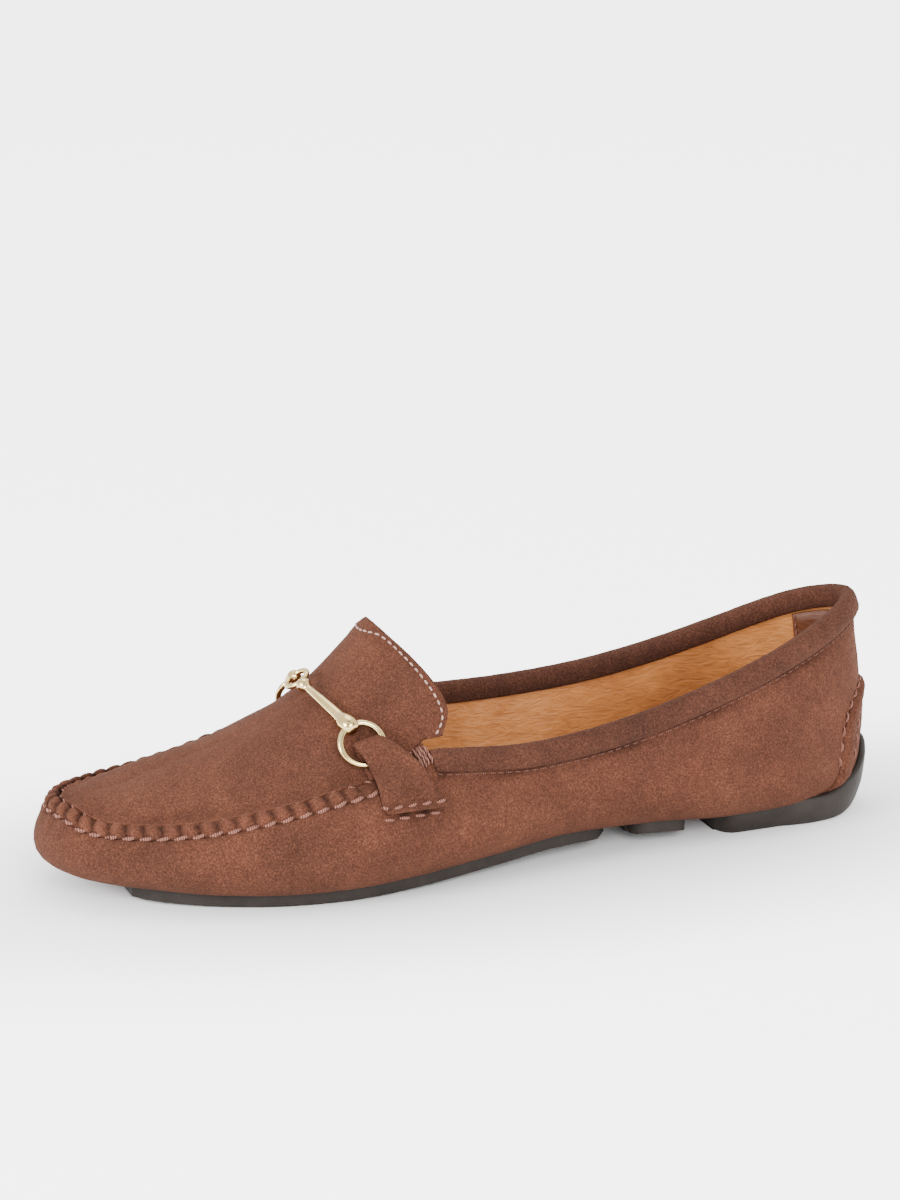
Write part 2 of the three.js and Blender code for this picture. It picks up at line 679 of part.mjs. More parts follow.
// Nearest point of the suede to a target, with its outward normal
function nearest(target) {
  let best = null;
  const tri = new THREE.Triangle();
  const hit = V(0, 0, 0);
  for (const [a, b, c] of upper.tris) {
    tri.set(upper.points[a], upper.points[b], upper.points[c]);
    tri.closestPointToPoint(target, hit);
    const d = hit.distanceTo(target);
    if (!best || d < best.d) {
      const bary = tri.getBarycoord(hit, V(0, 0, 0)) || V(1, 0, 0);
      const n = V(0, 0, 0).addScaledVector(normalAt(a), bary.x)
        .addScaledVector(normalAt(b), bary.y).addScaledVector(normalAt(c), bary.z);
      best = { d, p: hit.clone(), n: n.normalize() };
    }
  }
  return best;
}

// Strap edges from the sewn end to the fold inside the ring
const STRAP = [
  { frontX: 46.2, frontY: 42.2, frontZ: 26.6, rearX: 27.6, rearY: 40.4, rearZ: 26.8 },
  { frontX: 47.3, frontY: 37.6, frontZ: 31.6, rearX: 31.6, rearY: 37.0, rearZ: 32.2 },
  { frontX: 49.0, frontY: 32.0, frontZ: 37.0, rearX: 36.8, rearY: 31.6, rearZ: 38.6 },
  { frontX: 50.6, frontY: 28.4, frontZ: 40.8, rearX: 42.6, rearY: 27.4, rearZ: 42.6 },
];
// Middle of the strap above the suede along its length, there and back
const FOLD = [
  { row: 0.0, lift: 0.9 }, { row: 0.5, lift: 1.2 }, { row: 1.0, lift: 2.4 }, { row: 1.3, lift: 3.7 },
  { row: 1.6, lift: 4.6 }, { row: 2.1, lift: 4.7 }, { row: 2.5, lift: 4.4 }, { row: 2.85, lift: 3.8 },
  { row: 3.0, lift: 2.8 }, { row: 2.85, lift: 1.8 }, { row: 2.5, lift: 1.1 }, { row: 2.1, lift: 0.85 },
  { row: 1.7, lift: 0.85 }, { row: 1.35, lift: 0.85 },
];
const OFF_SUEDE = shell(upper, -1.2, GAP);

function strapBase(side, row, across) {
  const i = Math.min(STRAP.length - 2, Math.floor(row));
  const t = row - i;
  const [a, b] = [STRAP[i], STRAP[i + 1]];
  const edge = (end) => V(
    lerp(a[`${end}X`], b[`${end}X`], t) * AT,
    lerp(a[`${end}Y`], b[`${end}Y`], t),
    lerp(a[`${end}Z`], b[`${end}Z`], t),
  );
  const front = edge('front');
  const rear = edge('rear');
  const p = rear.lerp(front, across);
  p.y *= side;
  return nearest(p);
}

function strap(side) {
  const lanes = [0, 0.5, 1].map((across) => FOLD.map(({ row, lift }) => {
    const base = strapBase(side, row, across);
    return base.p.clone().addScaledVector(base.n, lift);
  }));
  const sections = [];
  for (let i = 0; i < FOLD.length; i += 1) {
    const wide = lanes[2][i].clone().sub(lanes[0][i]).normalize();
    const outer = [];
    const inner = [];
    for (const lane of lanes) {
      const ahead = lane[Math.min(FOLD.length - 1, i + 1)].clone().sub(lane[Math.max(0, i - 1)]);
      const n = wide.clone().cross(ahead).normalize().multiplyScalar(STRAP_THICK / 2);
      outer.push(lane[i].clone().add(n));
      inner.push(lane[i].clone().sub(n));
    }
    sections.push([...outer, ...inner.reverse()]);
  }
  return loft(sections, false).subtract(OFF_SUEDE);
}

// Torus with its axis along a direction
function torus(centre, axis, radius, wire, around, tube) {
  const z = axis.clone().normalize();
  const x = Math.abs(z.z) < 0.9 ? V(0, 0, 1).cross(z).normalize() : V(1, 0, 0).cross(z).normalize();
  const y = z.clone().cross(x);
  const sections = [];
  for (let i = 0; i < around; i += 1) {
    const a = (2 * Math.PI * i) / around;
    const out = x.clone().multiplyScalar(Math.cos(a)).addScaledVector(y, Math.sin(a));
    const ring = [];
    for (let k = 0; k < tube; k += 1) {
      const b = (2 * Math.PI * k) / tube;
      ring.push(centre.clone().addScaledVector(out, radius + wire * Math.cos(b))
        .addScaledVector(z, wire * Math.sin(b)));
    }
    sections.push(ring);
  }
  return loft(sections, true);
}

// Turned body from a to b; profile rows give the share of the length and the radius
function turned(a, b, profile, tube, flat) {
  const axis = b.clone().sub(a);
  const z = axis.clone().normalize();
  const y = V(0, 0, 1).projectOnPlane(z).normalize();
  const x = y.clone().cross(z);
  return loft(profile.map(({ t, r }) => {
    const ring = [];
    for (let k = 0; k < tube; k += 1) {
      const f = (2 * Math.PI * k) / tube;
      ring.push(a.clone().addScaledVector(axis, t).addScaledVector(x, r * Math.cos(f))
        .addScaledVector(y, r * Math.sin(f) * flat));
    }
    return ring;
  }), false);
}

// Metal: ring centre on its strap, bar from the ring to the link in the middle
const RING_BASE = V(48.0 * AT, 28.8, 41.2);
const RING_LIFT = 3.0;
const RING_TILT = 0.14;
const LINK = V(57.5 * AT, 0, 54.2);
const BAR_PROFILE = [
  { t: 0.00, r: 1.2 }, { t: 0.02, r: 2.0 }, { t: 0.06, r: 2.5 }, { t: 0.12, r: 2.7 }, { t: 0.18, r: 2.5 },
  { t: 0.24, r: 2.0 }, { t: 0.30, r: 1.6 }, { t: 0.55, r: 1.35 }, { t: 0.80, r: 1.1 }, { t: 0.85, r: 1.05 },
  { t: 0.88, r: 1.7 }, { t: 0.93, r: 2.0 }, { t: 0.98, r: 1.7 }, { t: 1.00, r: 1.0 },
];

function metal(side) {
  const seat = nearest(V(RING_BASE.x, side * RING_BASE.y, RING_BASE.z));
  const centre = seat.p.clone().addScaledVector(seat.n, RING_LIFT);
  const to = V(LINK.x, side * 2.6, LINK.z - 0.1);
  const along = to.clone().sub(centre).projectOnPlane(seat.n).normalize();
  const [cos, sin] = [Math.cos(RING_TILT), Math.sin(RING_TILT)];
  const axis = seat.n.clone().multiplyScalar(cos).addScaledVector(along, -sin);
  const reach = along.clone().multiplyScalar(cos).addScaledVector(seat.n, sin);
  const ring = torus(centre, axis, RING_RADIUS, WIRE_RADIUS, 26, 8);
  const room = torus(centre, axis, RING_RADIUS, WIRE_RADIUS + GAP, 26, 8);
  const from = centre.clone().addScaledVector(reach, RING_RADIUS - 2.0).addScaledVector(seat.n, 0.8);
  const linkRoom = torus(LINK, V(0.55, 0, 0.8), 3.4, 0.75 + GAP, 24, 8);
  const whole = turned(from, to, BAR_PROFILE, 14, 1);
  const bar = whole.subtract(room).subtract(linkRoom).subtract(OFF_SUEDE);
  return { ring, room, bar };
}

// Insole on the inner face of the underside
function insole() {
  const sheet = makeSheet();
  const ids = new Map();
  for (const side of [1, -1]) {
    const rows = [];
    for (let j = 0; j <= RIBS; j += 1) {
      rows.push(upper.grid[side][j].slice(0, 3).map((i) => {
        const k = sheet.vertex(upper.points[i]);
        ids.set(k, i);
        return k;
      }));
    }
    sheet.patch(rows, side < 0);
  }
  sheet.normals = sheet.points.map((p, k) => normalAt(ids.get(k)));
  return shell(sheet, -(WALL + GAP + INSOLE_THICK), -(WALL + GAP));
}

addNode('upper', upperBody, 'suede');
addNode('collar_binding', binding(), 'suede');
addNode('heel_patch', patch, 'suede');
for (const [side, name] of [[1, 'lateral'], [-1, 'medial']]) {
  const { ring, room, bar } = metal(side);
  addNode(`strap_${name}`, strap(side).subtract(room), 'suede');
  addNode(`ring_${name}`, ring, 'gold');
  addNode(`bar_${name}`, bar, 'gold');
}
addNode('bit_link', torus(LINK, V(0.55, 0, 0.8), 3.4, 0.75, 24, 8), 'gold');
addNode('insole', insole(), 'lining');
addNode('forefoot_pad', forePad, 'rubber');
addNode('mid_pad', midPad, 'rubber');
addNode('heel_pad', heelPad, 'rubber');

// Origin at the middle of the footprint, on the floor
const box = new THREE.Box3().setFromObject(group);
const middle = box.getCenter(V(0, 0, 0));
for (const node of group.children) node.geometry.translate(-middle.x, -middle.y, -box.min.z);

export default group;
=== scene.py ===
# Bit loafer, left shoe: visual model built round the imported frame.
# Points are in millimetres, x to the toe, y to the outer side, z up; SHIFT moves them to the CAD.
import math

import bpy
import numpy as np
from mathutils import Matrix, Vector
from mathutils.bvhtree import BVHTree


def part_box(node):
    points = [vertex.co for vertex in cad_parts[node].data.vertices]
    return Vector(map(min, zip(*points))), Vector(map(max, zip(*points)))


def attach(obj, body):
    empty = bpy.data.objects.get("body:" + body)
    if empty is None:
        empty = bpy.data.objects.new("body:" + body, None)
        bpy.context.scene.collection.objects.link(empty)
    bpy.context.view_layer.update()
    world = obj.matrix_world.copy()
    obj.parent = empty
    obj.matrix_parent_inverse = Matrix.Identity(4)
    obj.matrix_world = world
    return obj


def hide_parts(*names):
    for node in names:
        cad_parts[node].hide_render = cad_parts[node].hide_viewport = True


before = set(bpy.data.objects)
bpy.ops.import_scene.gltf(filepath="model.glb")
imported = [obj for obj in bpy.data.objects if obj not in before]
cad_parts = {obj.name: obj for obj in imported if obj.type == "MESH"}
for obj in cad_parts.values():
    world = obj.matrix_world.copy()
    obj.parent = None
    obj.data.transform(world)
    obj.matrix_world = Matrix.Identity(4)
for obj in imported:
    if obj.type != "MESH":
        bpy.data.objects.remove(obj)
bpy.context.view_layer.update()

LENGTH, HEEL_X, WALL = 251.0, -117.0, 1.8
COLLAR_FRONT_X, TONGUE_SEAM_X = 28.0, 46.0
SEAM_WIDTH, SEAM_RAISE = 4.6, 1.5
RIBS_TOE, RIBS_TONGUE, RIBS_COLLAR = 15.0, 6.0, 21.0
RIBS_FRONT = RIBS_TOE + RIBS_TONGUE
RIBS = RIBS_FRONT + RIBS_COLLAR
STITCH = 5.2

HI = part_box("upper")[1]
SHIFT = np.array([HI[0] * 1000 - (HEEL_X + LENGTH), HI[1] * 1000 - 45.987, 0.0])


def put_in_scene(name, data):
    obj = bpy.data.objects.new(name, data)
    bpy.context.scene.collection.objects.link(obj)
    return obj


# Camera at the photograph's angle
EYE = np.array([360.5, 959.0, 346.4])
LOOK = np.array([-0.3304, -0.9077, -0.2588])
FOCAL_PX, PHOTO_W, PHOTO_H = 3700.0, 900, 1200
cam_data = bpy.data.cameras.new("camera")
cam_data.sensor_fit = "VERTICAL"
cam_data.sensor_height = 36.0
cam_data.lens = cam_data.sensor_height * FOCAL_PX / PHOTO_H
cam_data.clip_start, cam_data.clip_end = 0.01, 20.0
camera = put_in_scene("camera", cam_data)
camera.location = Vector((EYE + SHIFT) / 1000.0)
camera.rotation_euler = Vector(LOOK).to_track_quat("-Z", "Y").to_euler()
bpy.context.scene.camera = camera

# share, lateral, medial, under, widest, edge
SECTIONS = np.array([
    (0.000, 0.0, 0.0, 7.0, 17.5, 8.6), (0.012, 9.0, 9.0, 6.9, 17.5, 8.6),
    (0.045, 19.0, 19.0, 6.6, 17.5, 9.0), (0.110, 27.0, 27.0, 6.0, 17.8, 9.6),
    (0.200, 30.5, 30.0, 6.0, 18.0, 10.0), (0.300, 31.5, 29.5, 7.0, 18.5, 11.0),
    (0.400, 34.0, 30.0, 7.2, 19.0, 12.0), (0.500, 39.0, 33.5, 5.5, 17.0, 11.5),
    (0.600, 44.0, 38.5, 4.0, 14.5, 10.5), (0.680, 46.0, 41.5, 3.4, 13.0, 9.5),
    (0.760, 44.0, 41.0, 3.3, 12.0, 9.0), (0.840, 38.0, 36.5, 3.8, 12.0, 9.0),
    (0.900, 31.0, 31.0, 4.8, 12.5, 9.5), (0.950, 22.9, 23.8, 5.6, 13.0, 9.0),
    (0.985, 12.2, 13.6, 6.0, 13.2, 8.8), (1.000, -2.0, 2.0, 6.2, 13.4, 8.8)])
# x, inset, lateral, medial
SEAM = np.array([
    (28, 10.5, 38.8, 39.0), (36, 8.2, 34.2, 34.6), (46, 6.5, 31.0, 31.8), (56, 5.5, 29.5, 30.2),
    (70, 4.8, 26.8, 28.0), (85, 4.3, 23.9, 24.8), (100, 4.0, 21.4, 23.0), (112, 3.8, 20.4, 22.6),
    (122, 3.6, 20.3, 22.8), (128, 3.5, 21.1, 23.2), (131, 3.4, 22.6, 23.6), (134, 3.4, 23.4, 23.4)])
# x, z, arch
RIDGE = np.array([
    (36.4, 70.2, 1.32), (41.5, 64.3, 1.3), (45.7, 59.3, 1.3), (48.4, 56.2, 1.32),
    (53.5, 51.0, 1.36), (61, 46.4, 1.46), (68.2, 42.5, 1.56), (76.9, 38.7, 1.7),
    (89.4, 34.8, 1.9), (100, 31.4, 2.0),
    (110, 28.6, 2.0), (122, 26.3, 1.8)])
TONGUE_EDGE = [(36.4, 0.0, 70.2), (33.2, 7.5, 67.0), (27.6, 15.0, 61.0), (22.6, 22.0, 53.4),
               (21.2, 25.2, 48.2), (24.0, 28.8, 42.3)]
# x, half, lateral, medial
TOPLINE = [
    (28, 33.4, 38.8, 39.0), (20, 32.6, 38.0, 38.2), (0, 31.0, 36.6, 38.2),
    (-20, 29.8, 38.2, 39.2), (-40, 28.2, 41.8, 41.6), (-60, 26.4, 47.2, 45.8),
    (-80, 23.0, 53.4, 52.0), (-91, 19.4, 56.9, 56.4),
    (-101, 14.9, 60.2, 60.4), (-108.5, 10.0, 62.6, 62.8), (-113.0, 5.0, 63.8, 64.0),
    (-114.6, 0.0, 64.2, 64.2)]


def column(xs, ys):
    """Monotone cubic through the points of one column."""
    xs, ys = np.asarray(xs, float), np.asarray(ys, float)
    slope = np.diff(ys) / np.diff(xs)
    m = np.empty_like(xs)
    m[0], m[-1] = slope[0], slope[-1]
    s = slope[:-1] * slope[1:]
    total = slope[:-1] + slope[1:]
    m[1:-1] = np.where(s <= 0, 0.0, 2 * s / np.where(np.abs(total) < 1e-12, 1.0, total))

    def value(x):
        x = np.clip(np.asarray(x, float), xs[0], xs[-1])
        i = np.clip(np.searchsorted(xs, x, side="left") - 1, 0, len(xs) - 2)
        h = xs[i + 1] - xs[i]
        t = (x - xs[i]) / h
        a = ys[i] * (1 + 2 * t) * (1 - t) ** 2 + ys[i + 1] * t * t * (3 - 2 * t)
        return a + h * (m[i] * t * (1 - t) ** 2 + m[i + 1] * t * t * (t - 1))
    return value


def share(x):
    return (x - HEEL_X) / LENGTH


under = column(SECTIONS[:, 0], SECTIONS[:, 3])
widest = column(SECTIONS[:, 0], SECTIONS[:, 4])
edge_inset = column(SECTIONS[:, 0], SECTIONS[:, 5])
seam_inset = column(SEAM[:, 0], SEAM[:, 1])
seam_z = {1: column(SEAM[:, 0], SEAM[:, 2]), -1: column(SEAM[:, 0], SEAM[:, 3])}
ridge_z = column(RIDGE[:, 0], RIDGE[:, 1])
ridge_arch = column(RIDGE[:, 0], RIDGE[:, 2])


def middle_y(x):
    return -2 * np.clip((x - 85) / 49, 0, 1)


def mix(a, b, t):
    return a + (b - a) * t


def smooth(x, lo, hi):
    t = np.clip((x - lo) / (hi - lo), 0, 1)
    return t * t * (3 - 2 * t)


def catmull(points, ts, closed=False):
    """Centripetal Catmull-Rom curve through points, sampled at ts from 0 to 1."""
    pts = np.asarray(points, float)
    n = len(pts)
    out = []
    for t in ts:
        p = (n if closed else n - 1) * t
        i = int(math.floor(p))
        w = p - i
        if not closed and i >= n - 1:
            i, w = n - 2, 1.0
        if closed:
            i %= n
        p0 = pts[(i - 1) % n] if closed or i > 0 else 2 * pts[0] - pts[1]
        p1, p2 = pts[i % n], pts[(i + 1) % n]
        p3 = pts[(i + 2) % n] if closed or i + 2 < n else 2 * pts[n - 1] - pts[n - 2]
        d0, d1, d2 = (math.sqrt(np.linalg.norm(b - a)) for a, b in ((p0, p1), (p1, p2), (p2, p3)))
        d1 = d1 if d1 > 1e-4 else 1.0
        d0 = d0 if d0 > 1e-4 else d1
        d2 = d2 if d2 > 1e-4 else d1
        t1 = ((p1 - p0) / d0 - (p2 - p0) / (d0 + d1) + (p2 - p1) / d1) * d1
        t2 = ((p2 - p1) / d1 - (p3 - p1) / (d1 + d2) + (p3 - p2) / d2) * d1
        c2 = -3 * p1 + 3 * p2 - 2 * t1 - t2
        c3 = 2 * p1 - 2 * p2 + t1 + t2
        out.append(p1 + t1 * w + c2 * w * w + c3 * w ** 3)
    return np.array(out)


def lengths(line):
    return np.concatenate([[0.0], np.cumsum(np.linalg.norm(np.diff(line, axis=0), axis=1))])


def on_line(d, span, line):
    """Points at d along a line whose own points lie at span."""
    return np.stack([np.interp(d, span, line[:, k]) for k in range(line.shape[1])], -1)


class Side:
    """Outline, topline and tongue edge of one side; side is 1 outer or -1 inner."""

    def __init__(self, side):
        rows = SECTIONS[1:-1]
        pts = [(HEEL_X, 0.0, 0.0)]
        pts += [(HEEL_X + LENGTH * r[0], r[1], 0.0) for r in rows]
        pts.append((HEEL_X + LENGTH, -2.0, 0.0))
        pts += [(HEEL_X + LENGTH * r[0], -r[2], 0.0) for r in rows[::-1]]
        toe = (len(rows) + 1) / len(pts)
        t = np.linspace(0, 1, 701)
        u = toe * (1 - t) if side > 0 else toe + (1 - toe) * t
        u[u == 1] = 0
        self.side = side
        self.line = catmull(pts, u, True)
        self.along = lengths(self.line)
        self.total = self.along[-1]
        k = 2 if side > 0 else 3
        o = 3 if side > 0 else 2
        top = [(r[0], side * r[1], r[k]) for r in TOPLINE]
        top += [(r[0], -side * r[1], r[o]) for r in TOPLINE[-4:-1][::-1]]
        end = (len(TOPLINE) - 1) / (len(top) - 1)
        self.top = catmull(top, np.linspace(0, end, 401))
        self.top_along = lengths(self.top)
        x, y, z = TONGUE_EDGE[1]
        tongue = [(x, -side * y, z)] + [(x, side * y, z) for x, y, z in TONGUE_EDGE]
        n = len(tongue) - 1
        self.tongue_q = np.linspace(0, 1, 121)
        self.tongue_line = catmull(tongue, (1 + self.tongue_q * (n - 1)) / n)
        self.tongue_share = self.find(TONGUE_SEAM_X)
        self.collar_share = self.find(COLLAR_FRONT_X)

    def find(self, x):
        return self.along[int(np.argmax(self.line[:, 0] <= x))] / self.total

    def rib_share(self, j):
        j = np.asarray(j, float)
        f = j / RIBS_TOE
        toe = self.tongue_share * (0.35 * f ** 2 + 0.65 * f)
        mid = mix(self.tongue_share, self.collar_share, (j - RIBS_TOE) / RIBS_TONGUE)
        t = (j - RIBS_FRONT) / RIBS_COLLAR
        rear = mix(self.collar_share, 1, t - 0.25 * np.sin(2 * np.pi * t) / (2 * np.pi))
        return np.where(j <= RIBS_TOE, toe, np.where(j <= RIBS_FRONT, mid, rear))

    def at(self, a):
        d = np.clip(a, 0, 1) * self.total
        x = np.interp(d, self.along, self.line[:, 0])
        y = np.interp(d, self.along, self.line[:, 1])
        i = np.clip(np.searchsorted(self.along, d, side="right") - 1, 0, 699)
        tan = self.line[np.minimum(700, i + 2)] - self.line[np.maximum(0, i - 1)]
        tan /= np.linalg.norm(tan, axis=1)[:, None]
        tan[a < 0.004] = (0, self.side, 0)
        tan[a > 0.996] = (0, -self.side, 0)
        return x, y, tan[:, 1] * self.side, -tan[:, 0] * self.side

    def topline(self, q):
        return on_line(np.clip(q, 0, 1) * self.top_along[-1], self.top_along, self.top)

    def tongue(self, q):
        return on_line(q, self.tongue_q, self.tongue_line)


SIDES = {1: Side(1), -1: Side(-1)}


def spine_x(x):
    return np.where(x > 98, 98 + (x - 98) * 0.2, np.where(x < -87, -87 + (x + 87) * 0.2, x))


def seam_profile(t, fine):
    if not fine:
        return smooth(t, 0.0, 0.16) * (1 - smooth(t, 0.8, 1.0))
    return smooth(t, 0.02, 0.34) * (1 - smooth(t, 0.78, 0.98))


def rib_points(side, js, vs, rear, fine):
    """Points for ribs js and levels vs; rear takes the topline as the upper guide."""
    sd, other = SIDES[side], SIDES[-side]
    a = sd.rib_share(js)
    x, y, nx, ny = sd.at(a)
    s = share(x)
    zb, zg, inset = under(s), widest(s), edge_inset(s)
    ox = other.at(other.rib_share(js))[0]
    if rear:
        top = sd.topline((a - sd.collar_share) / (1 - sd.collar_share))
        heel, power = np.clip((-60 - x) / 57, 0, 1), 1.5
    else:
        d = seam_inset(x)
        top = np.stack([x - nx * d, y - ny * d, seam_z[side](x)], 1)
        heel, power = np.zeros_like(x), 1.9
    out = np.zeros((len(js), len(vs), 3))
    for k, v in enumerate(vs):
        if v <= 1:
            sx = spine_x((x + ox) / 2)
            px = mix(sx, x - nx * inset, v)
            py = mix(middle_y(sx), y - ny * inset, v)
            out[:, k] = np.stack([px, py, under(share(px))], 1)
        elif v <= 2:
            f = (v - 1) * math.pi / 2
            d = inset * (1 - math.sin(f))
            px = x - nx * d
            low = mix(under(share(px)), zb, math.sin(f))
            out[:, k] = np.stack([px, y - ny * d, mix(low, zg, 1 - math.cos(f))], 1)
        elif v <= 3:
            t = v - 2
            e = t ** power
            bulge = heel * 1.3 * math.sin(math.pi * t ** 0.85)
            out[:, k] = np.stack([mix(x, top[:, 0], e) + nx * bulge,
                                  mix(y, top[:, 1], e) + ny * bulge, mix(zg, top[:, 2], t)], 1)
        else:
            d = seam_inset(x) + SEAM_WIDTH
            plug = np.stack([x - nx * d, y - ny * d, top[:, 2] + 2.2], 1)
            if v <= 4:
                t = v - 3
                raise_ = SEAM_RAISE * np.clip((x - 43) / 14, 0.12, 1) * float(seam_profile(t, fine))
                out[:, k] = mix(top, plug, t) + np.stack([nx * 0.45, ny * 0.45, 0.9 + 0 * nx], 1) \
                    * raise_[:, None]
            else:
                t = v - 4
                m = (np.minimum(js, RIBS_TOE) / RIBS_TOE) ** 1.4
                rx = mix(121.5, RIDGE[0][0], m)
                end = np.stack([rx, middle_y(rx), ridge_z(rx)], 1)
                arch = ridge_arch(rx)
                q = np.clip((js - RIBS_TOE) / RIBS_TONGUE, 0, 1)
                tongue = sd.tongue(q)
                late = (js > RIBS_TOE)[:, None]
                end = np.where(late, tongue, end)
                arch = np.where(js > RIBS_TOE, mix(RIDGE[0][2], 1.12, q), arch)
                p = mix(plug, end, t)
                p[:, 2] = mix(plug[:, 2], end[:, 2], 1 - (1 - t) ** arch)
                out[:, k] = p
    return out


def tub_points(side, js, vs, fine=False):
    js = np.asarray(js, float)
    front = rib_points(side, np.minimum(js, RIBS_FRONT), vs, False, fine)
    back = rib_points(side, np.maximum(js, RIBS_FRONT + 1), vs, True, fine)
    w = np.clip(js - RIBS_FRONT, 0, 1)[:, None, None]
    low = np.where(js <= RIBS_FRONT, 0.0, 1.0)[:, None, None]
    return np.where(low == 0, front, mix(front, back, w))


def build_sheet(js, tub_levels, apron_levels, fine):
    """Welded grid of both sides; returns points, faces and side, rib and level of each point."""
    chunks, infos, faces = [], [], []
    base = 0
    front = js[js <= RIBS_FRONT + 1e-9]
    for side in (1, -1):
        for ribs, levels, apron in ((js, tub_levels, False), (front, apron_levels, True)):
            if apron:
                pts = rib_points(side, ribs, levels, False, fine)
            else:
                pts = tub_points(side, ribs, levels, fine)
            ends = [i for i, j in enumerate(ribs) if j < 1e-9 or j > RIBS - 1e-9]
            for i in ends:
                one = ribs[i:i + 1]
                pts[i] = rib_points(1, one, levels, False, fine)[0] if apron \
                    else tub_points(1, one, levels, fine)[0]
            nj, nv = pts.shape[:2]
            chunks.append(pts.reshape(-1, 3))
            jj, vv = np.meshgrid(ribs, levels, indexing="ij")
            infos.append(np.stack([np.full(nj * nv, side), jj.ravel(), vv.ravel()], 1))
            idx = base + np.arange(nj * nv).reshape(nj, nv)
            a, b, c, d = idx[:-1, :-1], idx[1:, :-1], idx[1:, 1:], idx[:-1, 1:]
            quad = np.stack([a, b, c, d] if side > 0 else [a, d, c, b], -1).reshape(-1, 4)
            faces.append(quad)
            base += nj * nv
    pts, info, quads = np.concatenate(chunks), np.concatenate(infos), np.concatenate(faces)
    keys = np.round(pts * 500).astype(np.int64)
    _, first, inverse = np.unique(keys, axis=0, return_index=True, return_inverse=True)
    inverse = inverse.ravel()
    pts, info, quads = pts[first], info[first], inverse[quads]
    polys = []
    for q in quads.tolist():
        loop = [v for i, v in enumerate(q) if v != q[i - 1]]
        if len(set(loop)) == len(loop) and len(loop) > 2:
            polys.append(loop)
    return pts, polys, info


def normals_of(pts, polys):
    n = np.zeros_like(pts)
    tri = np.array([(p[0], p[i], p[i + 1]) for p in polys for i in range(1, len(p) - 1)])
    f = np.cross(pts[tri[:, 1]] - pts[tri[:, 0]], pts[tri[:, 2]] - pts[tri[:, 0]])
    for k in range(3):
        np.add.at(n, tri[:, k], f)
    return n / np.maximum(np.linalg.norm(n, axis=1), 1e-12)[:, None]


def grid_normals(grid):
    n = np.cross(np.gradient(grid, axis=0), np.gradient(grid, axis=1))
    return n / np.linalg.norm(n, axis=2)[:, :, None]


def shell(pts, polys, inner):
    """Close a sheet with a second layer of points and walls round its open edges."""
    n = len(pts)
    out = list(polys) + [[v + n for v in reversed(p)] for p in polys]
    open_edges = {}
    for p in polys:
        for i, v in enumerate(p):
            u = p[i - 1]
            if (v, u) in open_edges:
                del open_edges[(v, u)]
            else:
                open_edges[(u, v)] = True
    out += [[v, u, u + n, v + n] for u, v in open_edges]
    return np.concatenate([pts, inner]), out


def piece(name, pts, polys, material, slot, replaces=(), shade=None, edge=None, edge_from=0):
    """Mesh object riding on the one body; shade darkens the material with painted shade (below 0 it
    lightens it with a painted highlight).
    """
    mesh = bpy.data.meshes.new(name)
    places = (np.asarray(pts) + SHIFT) / 1000.0
    mesh.from_pydata([tuple(p) for p in places], [], [list(p) for p in polys])
    mesh.update()
    mesh.polygons.foreach_set("use_smooth", [True] * len(mesh.polygons))
    mesh.materials.append(material)
    if edge is not None:
        mesh.materials.append(edge)
        on_edge = [int(i >= edge_from) for i in range(len(polys))]
        mesh.polygons.foreach_set("material_index", on_edge)
    if shade is not None:
        layer = mesh.attributes.new("shade", "FLOAT", "POINT")
        layer.data.foreach_set("value", np.asarray(shade, np.float32))
    obj = put_in_scene(name, mesh)
    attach(obj, "root")
    if replaces:
        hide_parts(*replaces)


def loft(rings, closed=False):
    """Faces through rings of the same number of points, capped unless closed."""
    n, m = len(rings[0]), len(rings)
    pts = np.concatenate([np.asarray(r) for r in rings])
    faces = []
    for i in range(m if closed else m - 1):
        a, b = i * n, ((i + 1) % m) * n
        faces += [[a + k, b + k, b + (k + 1) % n, a + (k + 1) % n] for k in range(n)]
    if not closed:
        faces.append(list(range(n)))
        faces.append([(m - 1) * n + k for k in reversed(range(n))])
    volume = sum(float(np.dot(pts[q[0]], np.cross(pts[q[i]], pts[q[i + 1]])))
                 for q in faces for i in range(1, len(q) - 1))
    return pts, ([q[::-1] for q in faces] if volume < 0 else faces)


class Bundle:
    """Many small closed bodies gathered into one mesh."""

    def __init__(self):
        self.pts, self.faces, self.n = [], [], 0

    def add(self, pts, faces):
        self.pts.append(np.asarray(pts))
        self.faces += [[v + self.n for v in f] for f in faces]
        self.n += len(pts)

    def make(self, name, material, slot, replaces=()):
        piece(name, np.concatenate(self.pts), self.faces, material, slot, replaces)


def unit(v):
    v = np.asarray(v, float)
    return v / max(1e-12, float(np.linalg.norm(v)))


def sweep(path, radii, sides=8, up=(0, 0, 1), squash=1.0, closed=False):
    """Round body along a path; squash narrows it along the up direction."""
    path = np.asarray(path, float)
    rings = []
    m = len(path)
    for i in range(m):
        if closed:
            tan = unit(path[(i + 1) % m] - path[i - 1])
        else:
            tan = unit(path[min(m - 1, i + 1)] - path[max(0, i - 1)])
        ref = np.asarray(up[i] if np.ndim(up) == 2 else up, float)
        side = unit(np.cross(tan, ref))
        lift = np.cross(side, tan)
        f = 2 * np.pi * np.arange(sides) / sides
        r = radii[i] if np.ndim(radii) else radii
        rings.append(path[i] + r * (np.cos(f)[:, None] * side + squash * np.sin(f)[:, None] * lift))
    return loft(rings, closed)


# ---- materials


def srgb(r, g, b):
    def lin(c):
        c /= 255.0
        return c / 12.92 if c <= 0.04045 else ((c + 0.055) / 1.055) ** 2.4
    return (lin(r), lin(g), lin(b), 1.0)


